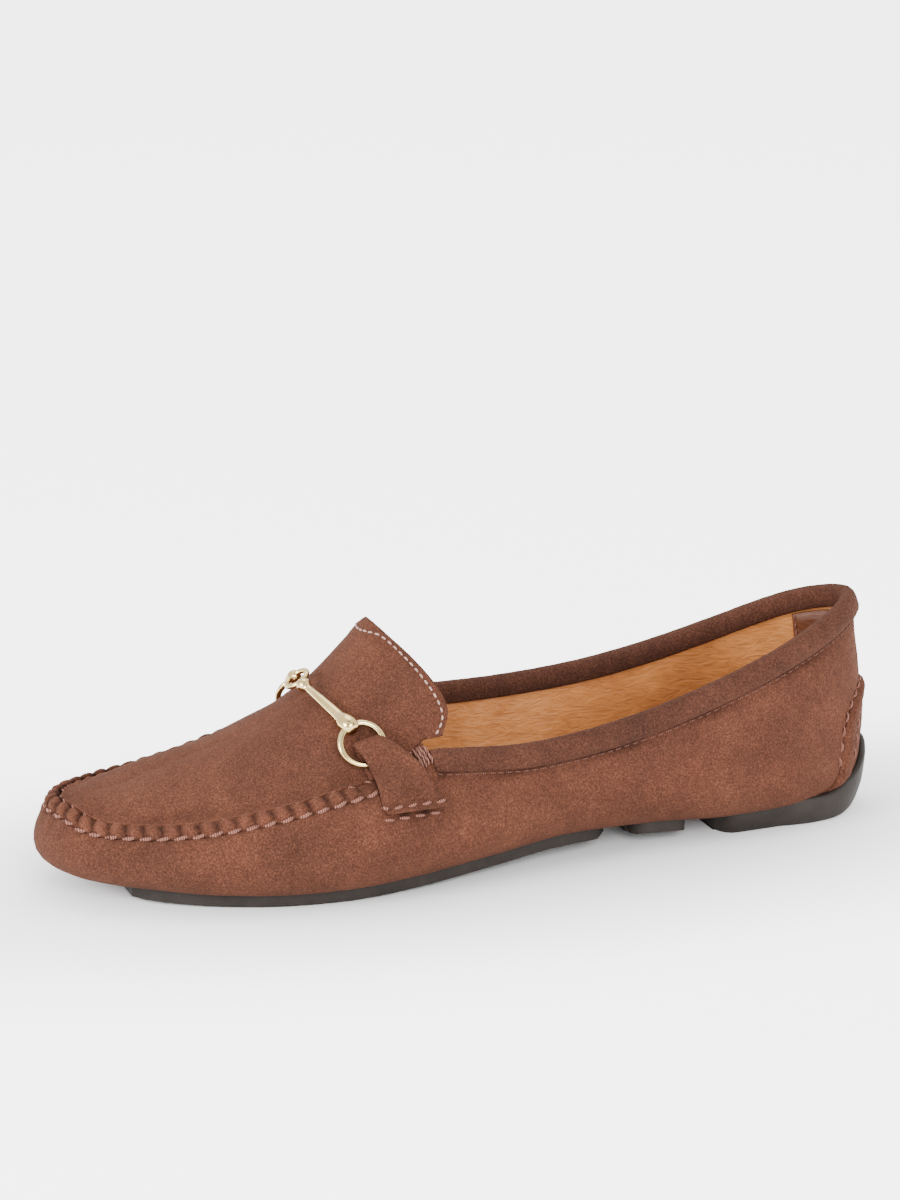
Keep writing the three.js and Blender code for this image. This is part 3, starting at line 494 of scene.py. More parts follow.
class Look:
    """One material; its methods add nodes and give their outputs."""

    def __init__(self, name, rough, spec, metal=0.0, sheen=0.0, sheen_tint=(1, 1, 1, 1)):
        self.mat = bpy.data.materials.new(name)
        self.mat.use_nodes = True
        self.nodes, self.links = self.mat.node_tree.nodes, self.mat.node_tree.links
        self.bsdf = self.nodes["Principled BSDF"]
        self.put(self.bsdf, Roughness=rough, Specular_IOR_Level=spec, Metallic=metal,
                 Sheen_Weight=sheen, Sheen_Roughness=0.45, Sheen_Tint=sheen_tint)
        self.coord = self.add("TexCoord").outputs["Object"]

    def put(self, node, **inputs):
        """Fill inputs, each with a value or another node's output."""
        for key, value in inputs.items():
            socket = node.inputs[key.replace("_", " ")]
            if isinstance(value, bpy.types.NodeSocket):
                self.links.new(value, socket)
            else:
                socket.default_value = value

    def add(self, kind, **inputs):
        node = self.nodes.new("ShaderNode" + kind)
        self.put(node, **inputs)
        return node

    def noise(self, scale, detail=3.0, rough=0.6, stretch=None, distort=0.0):
        coord = self.coord
        if stretch:
            coord = self.add("Mapping", Scale=stretch, Vector=coord).outputs["Vector"]
        return self.add("TexNoise", Scale=scale, Detail=detail, Roughness=rough,
                        Distortion=distort, Vector=coord).outputs["Fac"]

    def ramp(self, fac, *stops):
        node = self.add("ValToRGB", Fac=fac)
        elements = node.color_ramp.elements
        while len(elements) < len(stops):
            elements.new(0.5)
        for element, (position, color) in zip(elements, stops):
            element.position, element.color = position, color
        return node.outputs["Color"]

    def multiply(self, share, a, b):
        node = self.nodes.new("ShaderNodeMix")
        node.data_type, node.blend_type = "RGBA", "MULTIPLY"
        node.inputs[0].default_value = share
        self.links.new(a, node.inputs[6])
        self.links.new(b, node.inputs[7])
        return node.outputs[2]

    def finish(self, color, *layers):
        """Join the colour, and bumps of height, strength and distance one on another."""
        self.put(self.bsdf, Base_Color=color)
        last = None
        for height, strength, distance in layers:
            node = self.add("Bump", Height=height, Strength=strength, Distance=distance)
            if last is not None:
                self.put(node, Normal=last)
            last = node.outputs["Normal"]
        self.put(self.bsdf, Normal=last)
        return self.mat


def suede(name, dark, mid, light):
    look = Look(name, 0.96, 0.1, sheen=0.06, sheen_tint=srgb(214, 150, 118))
    patches = look.noise(44, 4.0, 0.62, distort=0.5)
    base = look.ramp(patches, (0.28, dark), (0.5, mid), (0.72, light))
    strokes = look.ramp(look.noise(300), (0.35, (0.93, 0.92, 0.92, 1)),
                        (0.65, (1.07, 1.07, 1.06, 1)))
    nap = look.noise(1900, 4.0, 0.8)
    tone = look.ramp(nap, (0.34, (0.42, 0.40, 0.40, 1)), (0.5, (0.95, 0.94, 0.93, 1)),
                     (0.65, (1.9, 1.84, 1.76, 1)))
    color = look.multiply(0.85, look.multiply(1.0, base, strokes), tone)
    attribute = look.add("Attribute")
    attribute.attribute_name = "shade"
    # Painted shade from the shade attribute, and a painted highlight below 0: shade runs from a
    # third below 0 up to 1, so that 0 falls on the ramp's quarter
    painted_shade_and_highlight = look.add("MapRange", From_Min=-1 / 3, Value=attribute.outputs["Fac"]).outputs["Result"]
    painted_shade_and_highlight = look.ramp(painted_shade_and_highlight, (0.0, (1.7, 1.62, 1.58, 1)), (0.25, (1, 1, 1, 1)),
                     (1.0, (0.13, 0.10, 0.09, 1)))
    tuft = look.noise(2400, 2.0, 0.7)
    return look.finish(look.multiply(1.0, color, painted_shade_and_highlight), (nap, 0.55, 0.0006), (tuft, 0.35, 0.0003))


def thread_material(name, dark, light):
    look = Look(name, 0.75, 0.08)
    ply = look.add("TexWave", Scale=520, Distortion=1.5, Vector=look.coord).outputs["Fac"]
    return look.finish(look.ramp(ply, (0.2, dark), (0.8, light)), (ply, 0.4, 0.0001))


def pale_thread_material():
    look = Look("tongue_thread", 0.5, 0.4)
    fine = look.noise(2400, 2.0)
    color = look.ramp(fine, (0.35, srgb(118, 88, 78)), (0.65, srgb(170, 140, 128)))
    return look.finish(color, (fine, 0.3, 0.0001))


def gold_material():
    look = Look("pale_gold", 0.16, 0.5, metal=1.0)
    haze = look.noise(260)
    color = look.ramp(haze, (0.3, srgb(196, 168, 110)), (0.7, srgb(218, 194, 140)))
    gloss = look.add("MapRange", To_Min=0.1, To_Max=0.24, Value=haze)
    look.put(look.bsdf, Roughness=gloss.outputs["Result"])
    return look.finish(color, (look.noise(900, 2.0), 0.03, 0.0001))


def rubber_material():
    look = Look("moulded_rubber", 0.6, 0.22)
    mottle = look.noise(130)
    pores = look.add("TexVoronoi", Scale=1100, Vector=look.coord).outputs["Distance"]
    color = look.ramp(mottle, (0.3, srgb(30, 25, 22)), (0.7, srgb(42, 36, 32)))
    return look.finish(color, (pores, 0.25, 0.0002), (mottle, 0.2, 0.0006))


def lining_material(name, dark, mid, light):
    look = Look(name, 0.5, 0.35)
    base = look.ramp(look.noise(45), (0.3, dark), (0.5, mid), (0.72, light))
    streak = look.noise(430, 3.0, 0.6, (0.34, 0.4, 1.0), 1.6)
    tone = look.ramp(streak, (0.35, (0.80, 0.78, 0.76, 1)), (0.52, (1, 1, 1, 1)),
                     (0.75, (1.12, 1.12, 1.12, 1)))
    cells = look.add("TexVoronoi", Scale=900, Vector=look.coord)
    cells.feature = "DISTANCE_TO_EDGE"
    return look.finish(look.multiply(0.7, base, tone), (streak, 0.6, 0.0009),
                       (cells.outputs["Distance"], 0.2, 0.0002))


SUEDE = suede("suede_brown", srgb(66, 40, 30), srgb(74, 44, 33), srgb(82, 50, 37))
SUEDE_EDGE = suede("suede_cut_edge", srgb(50, 31, 25), srgb(58, 36, 29), srgb(68, 43, 34))
SUEDE_ROLL = suede("suede_collar", srgb(54, 33, 26), srgb(63, 38, 29), srgb(72, 44, 34))
THREAD = thread_material("waxed_thread", srgb(76, 48, 40), srgb(130, 90, 78))
DARK_THREAD = thread_material("machine_thread", srgb(56, 35, 29), srgb(102, 70, 60))
PALE_THREAD = pale_thread_material()
GOLD = gold_material()
RUBBER = rubber_material()
LINING = lining_material("lining_tan", srgb(150, 92, 46), srgb(176, 112, 58), srgb(192, 128, 72))
COUNTER = lining_material("lining_counter", srgb(70, 38, 22), srgb(84, 46, 27), srgb(98, 56, 34))


# ---- the suede shell

dense = np.linspace(0, RIBS_FRONT, 1200)
SEAM_S = {sd: lengths(rib_points(sd, dense, [3.0], False, False)[:, 0]) for sd in (1, -1)}


def seam_s(side, j):
    return np.interp(j, dense, SEAM_S[side])


def seam_j(side, s):
    return np.interp(s, SEAM_S[side], dense)


FRONT_RIBS, REAR_RIBS = 235, 119
front_js = seam_j(1, np.linspace(0, SEAM_S[1][-1], FRONT_RIBS))
front_js[0], front_js[-1] = 0.0, RIBS_FRONT
rear_js = RIBS_FRONT + np.linspace(0, 1, REAR_RIBS)[1:] * RIBS_COLLAR
JS = np.concatenate([front_js, rear_js])
# Levels of the tub run from the middle below (0) over the edge (1) and the widest place (2) to the
# seam (3), those of the apron on to its own edge (4) and the ridge (5)
TUB = [0, .3, .6, .85, 1, 1.15, 1.3, 1.45, 1.6, 1.8, 2, 2.1, 2.2, 2.3, 2.4, 2.5, 2.6, 2.7, 2.78,
       2.84, 2.89, 2.93, 2.965, 3]
APRON = [3, 3.03, 3.06, 3.1, 3.16, 3.24, 3.34, 3.45, 3.56, 3.67, 3.76, 3.83, 3.88, 3.92, 3.96, 4,
         4.008, 4.018, 4.03, 4.045, 4.065, 4.09, 4.13, 4.18, 4.24, 4.31, 4.39, 4.48, 4.57, 4.66,
         4.75, 4.83, 4.9, 4.96, 5]

base_pts, base_polys, base_info = build_sheet(JS, np.array(TUB), np.array(APRON), True)
b_side, b_j, b_v = base_info[:, 0], base_info[:, 1], base_info[:, 2]
b_s = np.where(b_side > 0, seam_s(1, b_j), seam_s(-1, b_j))
# Ribs crowd where they meet at the toe: even them out just inside the apron's edge
crowded = (b_v > 4.02) & (b_s < 10)
links_of = np.array([(p[i - 1], p[i]) for p in base_polys for i in range(len(p))
                     if crowded[p[i]] or crowded[p[i - 1]]])
links_of = np.concatenate([links_of, links_of[:, ::-1]])
for _ in range(40):
    total, count = np.zeros_like(base_pts), np.zeros(len(base_pts))
    np.add.at(total, links_of[:, 0], base_pts[links_of[:, 1]])
    np.add.at(count, links_of[:, 0], 1)
    base_pts[crowded] = total[crowded] / count[crowded, None]
base_n = normals_of(base_pts, base_polys)
in_front = b_j <= RIBS_FRONT + 1e-9
b_x = base_pts[:, 0]

# Gathers: pillows between the two rows, a lip on the apron's cut edge, short pleats below
toe_close = np.exp(-(b_s / 42.0) ** 2)
fade = smooth(b_x, 45.0, 58.0)
t_band = b_v - 3
phase = b_s / STITCH + 0.30 * (t_band - 0.5)
pillow = np.abs(np.sin(np.pi * phase)) ** 0.62
wob = np.sin(b_s * 0.83 + b_side) * 0.5 + np.sin(b_s * 0.37 + 1.3) * 0.5
amp = mix(0.85, 1.35, toe_close) * (1 + 0.25 * wob)
across = np.clip(4 * t_band * (1 - t_band), 0, 1) ** 0.5
disp = np.zeros(len(base_pts))
band = in_front & (b_v > 3) & (b_v < 4)
disp += np.where(band, fade * amp * across * (pillow - 0.62), 0)
row = np.where(in_front, np.exp(-((b_v - 3.015) / 0.035) ** 2), 0)
disp -= row * (0.55 + 0.25 * fade) * (0.7 + 0.3 * np.cos(2 * np.pi * (b_s / STITCH + 0.5)))
below = in_front & (b_v > 2.45) & (b_v <= 3)
pleat = np.cos(2 * np.pi * (b_s / STITCH + 0.12 * (3 - b_v)))
disp += np.where(below, smooth(b_v, 2.5, 2.93) * (1 - smooth(b_v, 2.96, 3.0)) * fade
                 * mix(0.10, 0.26, toe_close) * pleat, 0)
disp += np.where(below, 0.30 * np.exp(-((b_v - 2.9) / 0.07) ** 2), 0)
lip_wave = 0.75 + 0.25 * np.cos(2 * np.pi * b_s / STITCH) + 0.18 * wob
edge_line = np.concatenate([
    rib_points(sd, seam_j(sd, np.linspace(0, SEAM_S[sd][-1], 320)), [4.0], False, False)[:, 0]
    for sd in (1, -1)])
from_edge = np.full(len(base_pts), 99.0)
for i in np.array_split(np.nonzero(in_front & (b_v >= 3.985))[0], 12):
    from_edge[i] = np.sqrt(((base_pts[i, None] - edge_line[None]) ** 2).sum(2).min(1))
gap = np.where(b_v < 4, np.exp(-((b_v - 3.925) / 0.075) ** 2),
               0.37 * np.exp(-(from_edge / 0.45) ** 2))
gap = np.where(in_front, gap, 0)
disp -= gap * fade * (0.75 + 0.65 * (1 - pillow))
lip = np.where(in_front & (b_v >= 3.985), np.exp(-((from_edge - 0.3) / 0.55) ** 2), 0)
disp += lip * mix(0.35, 1.0, fade) * 0.9 * lip_wave
# Apron dips a little inside its lip, then soft hollows and swells of worn suede
disp -= np.where(in_front & (b_v > 4), 0.3 * np.exp(-((from_edge - 2.4) / 1.3) ** 2), 0)
px, py, pz = base_pts.T
soft = (np.sin(px * 0.115 + 0.6 * np.sin(py * 0.09)) * np.sin(pz * 0.21 + px * 0.031 + 1.1)
        + 0.6 * np.sin(px * 0.23 + py * 0.17 + 2.0) * np.sin(pz * 0.33 - px * 0.05))
side_zone = smooth(b_v, 1.7, 2.2) * (1 - smooth(b_v, 2.75, 2.95))
disp += 0.22 * soft * side_zone
disp += np.where(in_front, 0.16 * soft * smooth(b_v, 4.15, 4.4), 0)

# Creases: a flex trough across the vamp sides and one under the ankle
for cx, cz, sx, sz, depth, tilt in (
        (66, 20, 5.0, 9.0, 0.5, -0.5), (80, 17, 6.0, 9.0, 0.4, -0.4),
        (-52, 30, 4.5, 12.0, 0.55, 0.5), (-70, 34, 4.0, 12.0, 0.4, 0.45),
        (20, 24, 6.0, 10.0, 0.4, -0.3), (-20, 24, 7.0, 10.0, 0.35, 0.2)):
    u = (px - cx) - tilt * (pz - cz)
    w = np.exp(-(u / sx) ** 2 - ((pz - cz) / sz) ** 2)
    ridge = np.exp(-((u - 2.1 * sx) / sx) ** 2 - ((pz - cz) / sz) ** 2)
    disp += (0.5 * ridge - w) * depth * side_zone

rim_js = np.linspace(RIBS_FRONT, RIBS, 400)
rims = {sd: tub_points(sd, rim_js, [3.0])[:, 0] for sd in (1, -1)}
rim_at = np.where(b_side[:, None] > 0, on_line(b_j, rim_js, rims[1]),
                  on_line(b_j, rim_js, rims[-1]))
below_rim = np.where(b_j > RIBS_FRONT, np.linalg.norm(base_pts - rim_at, axis=1), 99.0)
groove = np.exp(-((below_rim - 6.35) / 0.5) ** 2)
disp -= 0.35 * groove
disp += 0.18 * np.exp(-((below_rim - 8.4) / 1.3) ** 2)
outer = base_pts + base_n * disp[:, None]
# Painted shade in the creases between the pillows, the gap under the apron's edge, the stitch row's
# pits, the pleat troughs, along the soft swells and in the groove under the collar roll; painted
# highlight on the lip and the pillow tops
crease = np.where(band, fade * across * np.clip(1.25 - 1.6 * pillow, 0, 1), 0)
shade = 0.75 * crease + 0.85 * gap * fade + 0.55 * row - 0.3 * lip * fade
shade -= np.where(band, 0.16 * fade * across * np.clip(pillow - 0.7, 0, 1) / 0.3, 0)
shade += np.where(below, 0.22 * toe_close * np.clip(-pleat, 0, 1) * smooth(b_v, 2.7, 2.95), 0)
shade += 0.07 * soft * side_zone + 0.62 * groove + 0.18 * np.exp(-((below_rim - 7.2) / 0.9) ** 2)
for sd in (1, -1):
    # Slit shadow under the loose end of the strap
    a, b = np.array([44.9, 42.3 * sd, 25.2]), np.array([29.0, 41.3 * sd, 25.1])
    f = np.clip(((outer - a) @ (b - a)) / ((b - a) @ (b - a)), 0, 1)
    off = np.linalg.norm(outer - (a + f[:, None] * (b - a)), axis=1)
    along = 0.35 + 0.65 * np.sin(np.pi * np.clip(f, 0.02, 0.98))
    shade += 0.95 * np.exp(-(off / 0.9) ** 2) * along
SKIN = 0.9
# Thinner where the ribs meet at the toe, so that the back stays behind the front
depth_in = np.maximum(SKIN, 0.4 - disp)
tip = np.exp(-(b_s / 6.0) ** 2) * smooth(b_v, 3.5, 3.9)
depth_in = mix(depth_in, np.maximum(0.2 - disp, 0.25), tip)
skin_pts, skin_polys = shell(outer, base_polys, base_pts - base_n * depth_in[:, None])
piece("upper_suede", skin_pts, skin_polys, SUEDE, "suede", ("upper",),
      np.concatenate([shade, 0 * shade]), SUEDE_EDGE, 2 * len(base_polys))


class Surface:
    """Sheet that can be searched for a point and the smooth normal there."""

    def __init__(self, pts, polys):
        self.pts, self.polys, self.normals = pts, polys, normals_of(pts, polys)
        self.tree = BVHTree.FromPolygons([tuple(p) for p in pts], polys)

    def found(self, hit, face):
        hit, ids = np.array(hit), self.polys[face]
        w = 1.0 / (np.linalg.norm(self.pts[ids] - hit, axis=1) + 0.05)
        return hit, unit((self.normals[ids] * w[:, None]).sum(0))

    def nearest(self, target):
        hit, _, face, _ = self.tree.find_nearest(Vector(target))
        return self.found(hit, face)

    def ray(self, start, way):
        hit, _, face, _ = self.tree.ray_cast(Vector(start), Vector(way))
        return self.found(hit, face)


def rib_spread(front, rear):
    """Ribs spread evenly over the front, then over the collar."""
    return np.concatenate([np.linspace(0, RIBS_FRONT, front),
                           RIBS_FRONT + np.linspace(0, 1, rear)[1:] * RIBS_COLLAR])


# Smooth surface to lay pieces on
REF_TUB = np.array([0, .5, 1, 1.2, 1.4, 1.6, 1.8, 2, 2.15, 2.3, 2.45, 2.6, 2.75, 2.88, 3])
REF_APRON = np.array([3, 3.05, 3.16, 3.4, 3.6, 3.8, 3.9, 4, 4.06, 4.12, 4.2, 4.28, 4.37, 4.46, 4.56,
                      4.66, 4.76, 4.86, 4.94, 5])
REF = Surface(*build_sheet(rib_spread(90, 70), REF_TUB, REF_APRON, False)[:2])
# The dressed outside, for threads
DRESSED = Surface(outer, base_polys)
nearest, on_suede = REF.nearest, DRESSED.nearest

VIEW_X = unit(np.cross(LOOK, (0, 0, 1)))
VIEW_Y = np.cross(VIEW_X, unit(LOOK))


def seen(u, v):
    """Point of the suede that lies under a point of the 900 by 1200 picture."""
    ray = unit(LOOK) * FOCAL_PX + VIEW_X * (u - PHOTO_W / 2) - VIEW_Y * (v - PHOTO_H / 2)
    return DRESSED.ray(EYE, unit(ray))[0]


def laid(points):
    """Points moved onto the suede, and its normals there."""
    hits, normals = zip(*[on_suede(p) for p in points])
    return np.array(hits), np.array(normals)


# ---- lining

lin_js = rib_spread(60, 90)
LIN_TUB = np.array([0, .5, 1, 1.2, 1.4, 1.6, 1.8, 2, 2.12, 2.24, 2.36, 2.48, 2.6, 2.72, 2.82, 2.9,
                    2.96, 3])
LIN_APRON = np.array([3, 3.2, 3.5, 3.8, 4, 4.1, 4.2, 4.3, 4.42, 4.54, 4.66, 4.78, 4.9, 4.97, 5])
lin_pts, lin_polys, lin_info = build_sheet(lin_js, LIN_TUB, LIN_APRON, False)
lin_n = normals_of(lin_pts, lin_polys)
for i in np.nonzero(abs(lin_info[:, 1] - RIBS_FRONT) < 2.5)[0]:
    lin_n[i] = nearest(lin_pts[i])[1]
lx, ly, lz = lin_pts.T
sag = (np.sin(lz * 1.15 + 2.2 * np.sin(lx * 0.05) + 0.4 * np.sin(lx * 0.21))
       + 0.6 * np.sin(lz * 2.1 - lx * 0.03 + np.sin(lx * 0.11) * 1.4))
lin_v = lin_info[:, 2]
wall_zone = smooth(lin_v, 1.9, 2.2) * (1 - smooth(lin_v, 2.7, 2.9)) * (lin_info[:, 1] > 20)
# Lower under the gathered seam, so that its pits stay in the suede
dip = (smooth(lin_v, 2.5, 2.95) * (1 - smooth(lin_v, 4.05, 4.4))
       * (lin_info[:, 1] < RIBS_FRONT) * smooth(lx, 42, 52))
face = lin_pts - lin_n * (WALL + 1.1 * dip)[:, None]
face = face - lin_n * (0.11 * sag * wall_zone)[:, None]
back = lin_pts - lin_n * (SKIN + 0.15 + 1.2 * dip)[:, None]
lining_pts, lining_polys = shell(back, lin_polys, face)
piece("upper_lining", lining_pts, lining_polys, LINING, "lining")


# ---- collar binding: a padded roll over the rim, puckered along its length

BINDING_DEPTH, BINDING_THICK, GAP = 5.6, 1.2, 0.3


def rim_line(side, js):
    vs = np.array([2.55, 2.65, 2.74, 2.82, 2.88, 2.93, 2.97, 3.0])
    rows = tub_points(side, js, vs)
    return rows[:, ::-1], (grid_normals(rows) * side)[:, ::-1]


def binding_ring(line, normals, s, front):
    span = lengths(line)

    def at(d):
        return on_line(d, span, line), unit(on_line(d, span, normals))
    up = unit(at(0.0)[0] - at(3.0)[0])
    puff = sum(high * math.sin(s * often + start)
               for high, often, start in ((0.16, 0.9, 0.0), (0.12, 0.41, 1.0), (0.10, 1.9, 2.0)))
    near = (GAP + BINDING_THICK) * (1.0 + 0.10 * puff) * front
    far = -(WALL + GAP + BINDING_THICK)

    def put(d, rise, off):
        p, n = at(d)
        return p + n * off + up * rise
    deep = BINDING_DEPTH + 0.10 * puff
    # Share of the depth, rise and way out of each corner, down the outside and up the inside
    loop = [(1, 0, 0.12), (1, 0, near * 0.42), (0.88, 0, near * 0.86),
            (0.7, 0, near * (1.14 + 0.3 * puff)), (0.5, 0, near * (1.24 + 0.3 * puff)),
            (0.3, 0, near * 1.22), (0, -0.7, near * 1.08), (0, 0.35, near * 0.85),
            (0, near * 0.8, near * 0.42), (0, near * 1.05, -WALL / 2),
            (0, near * 0.82, far + near * 0.62), (0, 0.35, far + 0.12), (0, -0.7, far - 0.25),
            (0.3, 0, far - 0.42), (0.5, 0, far - 0.36 - 0.2 * puff), (0.7, 0, far - 0.2),
            (0.86, 0, far + 0.2), (0.92, 0, -WALL - 0.15), (0.5, 0, -WALL - 0.1),
            (0, -0.2, -WALL - 0.05), (0, 0.2, -WALL / 2), (0, -0.2, 0.1), (0.5, 0, 0.08)]
    # The outer edge is skived: its two corners lie a little above and below the full depth
    skive = [0.25, -0.15]
    return np.array([put(deep * part + (skive[i] if i < 2 else 0), rise, off)
                     for i, (part, rise, off) in enumerate(loop)])


def collar():
    """Roll over the rim; gives both sides' rows of points down from it."""
    rings, marks = [], []
    js = RIBS_FRONT + 0.03 + np.linspace(0, 1, 200) * (RIBS_COLLAR - 0.03)
    for side in (1, -1):
        rows, normals = rim_line(side, js)
        s = lengths(rows[:, 0])
        front = 0.62 + 0.38 * smooth(s, 0.0, 3.5)
        rings.append([binding_ring(*one) for one in zip(rows, normals, s + 3 * side, front)])
        marks.append(rows)
    piece("collar_roll", *loft(rings[0] + rings[1][:-1][::-1]), SUEDE_ROLL, "suede",
          ("collar_binding",))
    return marks


COLLAR_ROWS = collar()


def stitch_row(bundle, path, normals, pitch, length, radius, slant=0.0, bury=0.25, sides=6):
    """Short threads along a path: each one rises from its hole, lies flat and goes back in."""
    span = lengths(path)
    for i in range(int(span[-1] / pitch)):
        pts, rads, ups = [], [], []
        for f in np.arange(7) / 6:
            d = (i + 0.5) * pitch + (f - 0.5) * length
            p = on_line(d, span, path)
            n = unit(on_line(d, span, normals))
            over = unit(np.cross(n, on_line(d + 0.2, span, path) - p))
            end = abs(2 * f - 1) ** 3
            rise = radius * 0.55 - bury * end * 2.0
            pts.append(p + n * rise + over * slant * (f - 0.5) * length)
            rads.append(radius * (1 - 0.62 * end))
            ups.append(n)
        bundle.add(*sweep(pts, rads, sides, np.array(ups), 0.75))


# Hand stitches of the apron seam: outer row, then the inner one half under the apron's edge
seam_threads = Bundle()
for side in (1, -1):
    js = seam_j(side, np.arange(0.0, SEAM_S[side][-1] - 2.0, 0.4))
    for level, length, radius, slant, bury in ((3.03, 4.4, 0.66, 0.2, 0.45),
                                               (3.955, 2.6, 0.42, -0.5, 0.3)):
        row_at = laid(rib_points(side, js, [level], False, True)[:, 0])
        stitch_row(seam_threads, *row_at, STITCH, length, radius, slant * side, bury)
seam_threads.make("seam_thread", THREAD, "suede")

# Machine stitches in the groove under the collar roll
collar_threads = Bundle()
for rows in COLLAR_ROWS:
    row_at = laid([on_line(BINDING_DEPTH + 0.75, lengths(line), line) for line in rows])
    stitch_row(collar_threads, *row_at, 2.7, 1.9, 0.26, bury=0.1, sides=5)
collar_threads.make("collar_thread", DARK_THREAD, "suede")

# Row along the tongue's edge, pushed forward where it passes the tip
TONGUE_ROW_INSET, TIP_RIBS = 2.6, 1.2
tongue_threads = Bundle()
q_all = np.linspace(0.0, 1.0, 140)
points = []
for side, order in ((-1, q_all[::-1]), (1, q_all[1:])):
    js = RIBS_TOE + order * RIBS_TONGUE
    for j, (low, high) in zip(js, rib_points(side, js, [4.0, 5.0], False, True)):
        push = 1.6 * max(0.0, 1 - (j - RIBS_TOE) / TIP_RIBS)
        points.append(high + unit(low - high) * TONGUE_ROW_INSET + np.array([push, 0, -push]))
stitch_row(tongue_threads, *laid(points), 2.25, 1.5, 0.34, bury=0.12)
tongue_threads.make("tongue_stitches", PALE_THREAD, "suede")

# ---- straps folded through the rings

# Front point and rear point of each row across the strap
STRAP = np.array([
    (46.2, 42.2, 26.6, 27.6, 40.4, 26.8), (47.3, 37.6, 31.6, 31.6, 37.0, 32.2),
    (49.0, 32.0, 37.0, 36.8, 31.6, 38.6), (50.6, 28.4, 40.8, 42.6, 27.4, 42.6)])
# Row of STRAP and lift off the suede, from the loose end round the ring and back
FOLD = [(-0.20, 3.0), (-0.10, 2.1), (0.03, 1.3), (0.25, 0.95), (0.5, 1.2), (1.0, 2.4), (1.3, 3.7),
        (1.6, 4.6), (2.1, 4.7), (2.5, 4.4), (2.85, 3.8), (3.0, 2.8), (2.85, 1.8), (2.5, 1.1),
        (2.1, 0.85), (1.7, 0.85), (1.35, 0.85)]
STRAP_THICK = 1.1


def strap_base(side, row, across):
    i = int(min(len(STRAP) - 2, max(0, math.floor(row))))
    e = mix(STRAP[i], STRAP[i + 1], row - i)
    return nearest(mix(e[3:6], e[0:3], across) * (1, side, 1))


def strap_frame(side, u, across):
    row, lift = catmull([(a, b, 0.0) for a, b in FOLD], [u])[0][:2]
    p, n = strap_base(side, row, across)
    return p + n * lift, n


def strap(side, word):
    us, lanes = np.linspace(0, 1, 64), np.linspace(0, 1, 13)
    grid = np.array([[strap_frame(side, u, a)[0] for a in lanes] for u in us])
    for _ in range(2):
        grid[1:-1] = (grid[:-2] + 2 * grid[1:-1] + grid[2:]) / 4
        grid[:, 1:-1] = (grid[:, :-2] + 2 * grid[:, 1:-1] + grid[:, 2:]) / 4
    half = STRAP_THICK / 2 * (1 - 0.75 * np.abs(2 * lanes - 1) ** 7)
    crown = 0.096 * (1 - (2 * lanes - 1) ** 2)
    rings = []
    for u, line, n in zip(us, grid, -grid_normals(grid)):
        edge = half * (0.55 + 0.45 * smooth(u, 0, 0.03))
        rag = 0.006 * np.sin(54.0 * u + lanes * 3)
        top = line + n * (edge + crown + rag)[:, None]
        rings.append(np.concatenate([top, (line - n * edge[:, None])[::-1]]))
    piece("strap_%s_flap" % word, *loft(rings), SUEDE, "suede", ("strap_" + word,))


strap_threads, tack_threads = Bundle(), Bundle()
for side, word in ((1, "lateral"), (-1, "medial")):
    strap(side, word)
    # Stitches through the strap above its loose end
    path, norms = [], []
    for a in np.linspace(1.04, -0.10, 60):
        if 0.0 <= a <= 1.0:
            p, n = strap_frame(side, 0.115, a)
            path.append(p + n * (STRAP_THICK / 2 + 0.12))
        else:
            p, n = on_suede(strap_base(side, 0.2, a)[0])
            path.append(p + n * 0.3)
        norms.append(n)
    stitch_row(strap_threads, np.array(path), np.array(norms), 4.3, 3.2, 0.55, 0.25 * side, 0.3)
    # Stitches in the side just below the loose end
    e = mix(STRAP[0], STRAP[1], -0.42)
    row_at = laid([mix(e[3:6], e[0:3], a) * (1, side, 1) for a in np.linspace(1.06, -0.08, 60)])
    stitch_row(strap_threads, *row_at, 4.6, 3.3, 0.5, -0.1 * side, 0.3)
    # Bar tack from the tongue's corner to the collar's front
    for k in range(4):
        a = seen(412.4 + 3.1 * k, 748.6 - 0.9 * k) * np.array([1, side, 1])
        b = seen(423.4 + 3.0 * k, 769.0 - 1.8 * k) * np.array([1, side, 1])
        pts, ups, rads = [], [], []
        for f in np.linspace(0, 1, 12):
            q, m = on_suede(mix(a, b, f))
            bow = 1.2 * (1 - (2 * f - 1) ** 4)
            pts.append(q + m * (bow - 0.3))
            ups.append(m)
            rads.append(0.44 * (1 - 0.35 * abs(2 * f - 1) ** 4))
        tack_threads.add(*sweep(pts, rads, 8, np.array(ups), 0.85))
strap_threads.make("strap_stitches", THREAD, "suede")
tack_threads.make("corner_tacks", THREAD, "suede")

# ---- metal bit

RING_BASE = np.array([48.0, 28.8, 41.2])
RING_RADIUS, WIRE_RADIUS, RING_LIFT, RING_TILT = 6.1, 0.9, 3.0, 0.14
LINK = np.array([57.5, 0.0, 54.2])
# Share of the way from the ring to the link, and radius there
BAR = np.array([
    (0.00, 0.9), (0.006, 1.5), (0.02, 2.05), (0.045, 2.5), (0.08, 2.75), (0.115, 2.85),
    (0.15, 2.78), (0.185, 2.55), (0.215, 2.2), (0.24, 1.95), (0.27, 1.8), (0.33, 1.72),
    (0.45, 1.6), (0.58, 1.42), (0.70, 1.22), (0.79, 1.06), (0.83, 1.0), (0.85, 1.08),
    (0.868, 1.45), (0.89, 1.85), (0.915, 2.05), (0.94, 2.05), (0.962, 1.85), (0.98, 1.45),
    (0.992, 1.0), (1.0, 0.5)])


def ring_body(centre, axis, radius, wire, around=72, tube=16, along=None):
    z = unit(axis)
    x = unit(np.cross((0, 0, 1), z)) if abs(z[2]) < 0.9 else unit(np.cross((1, 0, 0), z))
    if along is not None:
        x = unit(np.asarray(along) - z * np.dot(along, z))
    y = np.cross(z, x)
    a = 2 * np.pi * np.arange(around) / around
    path = centre + radius * (np.cos(a)[:, None] * x + np.sin(a)[:, None] * y)
    return sweep(path, wire, tube, z, 1.0, True)


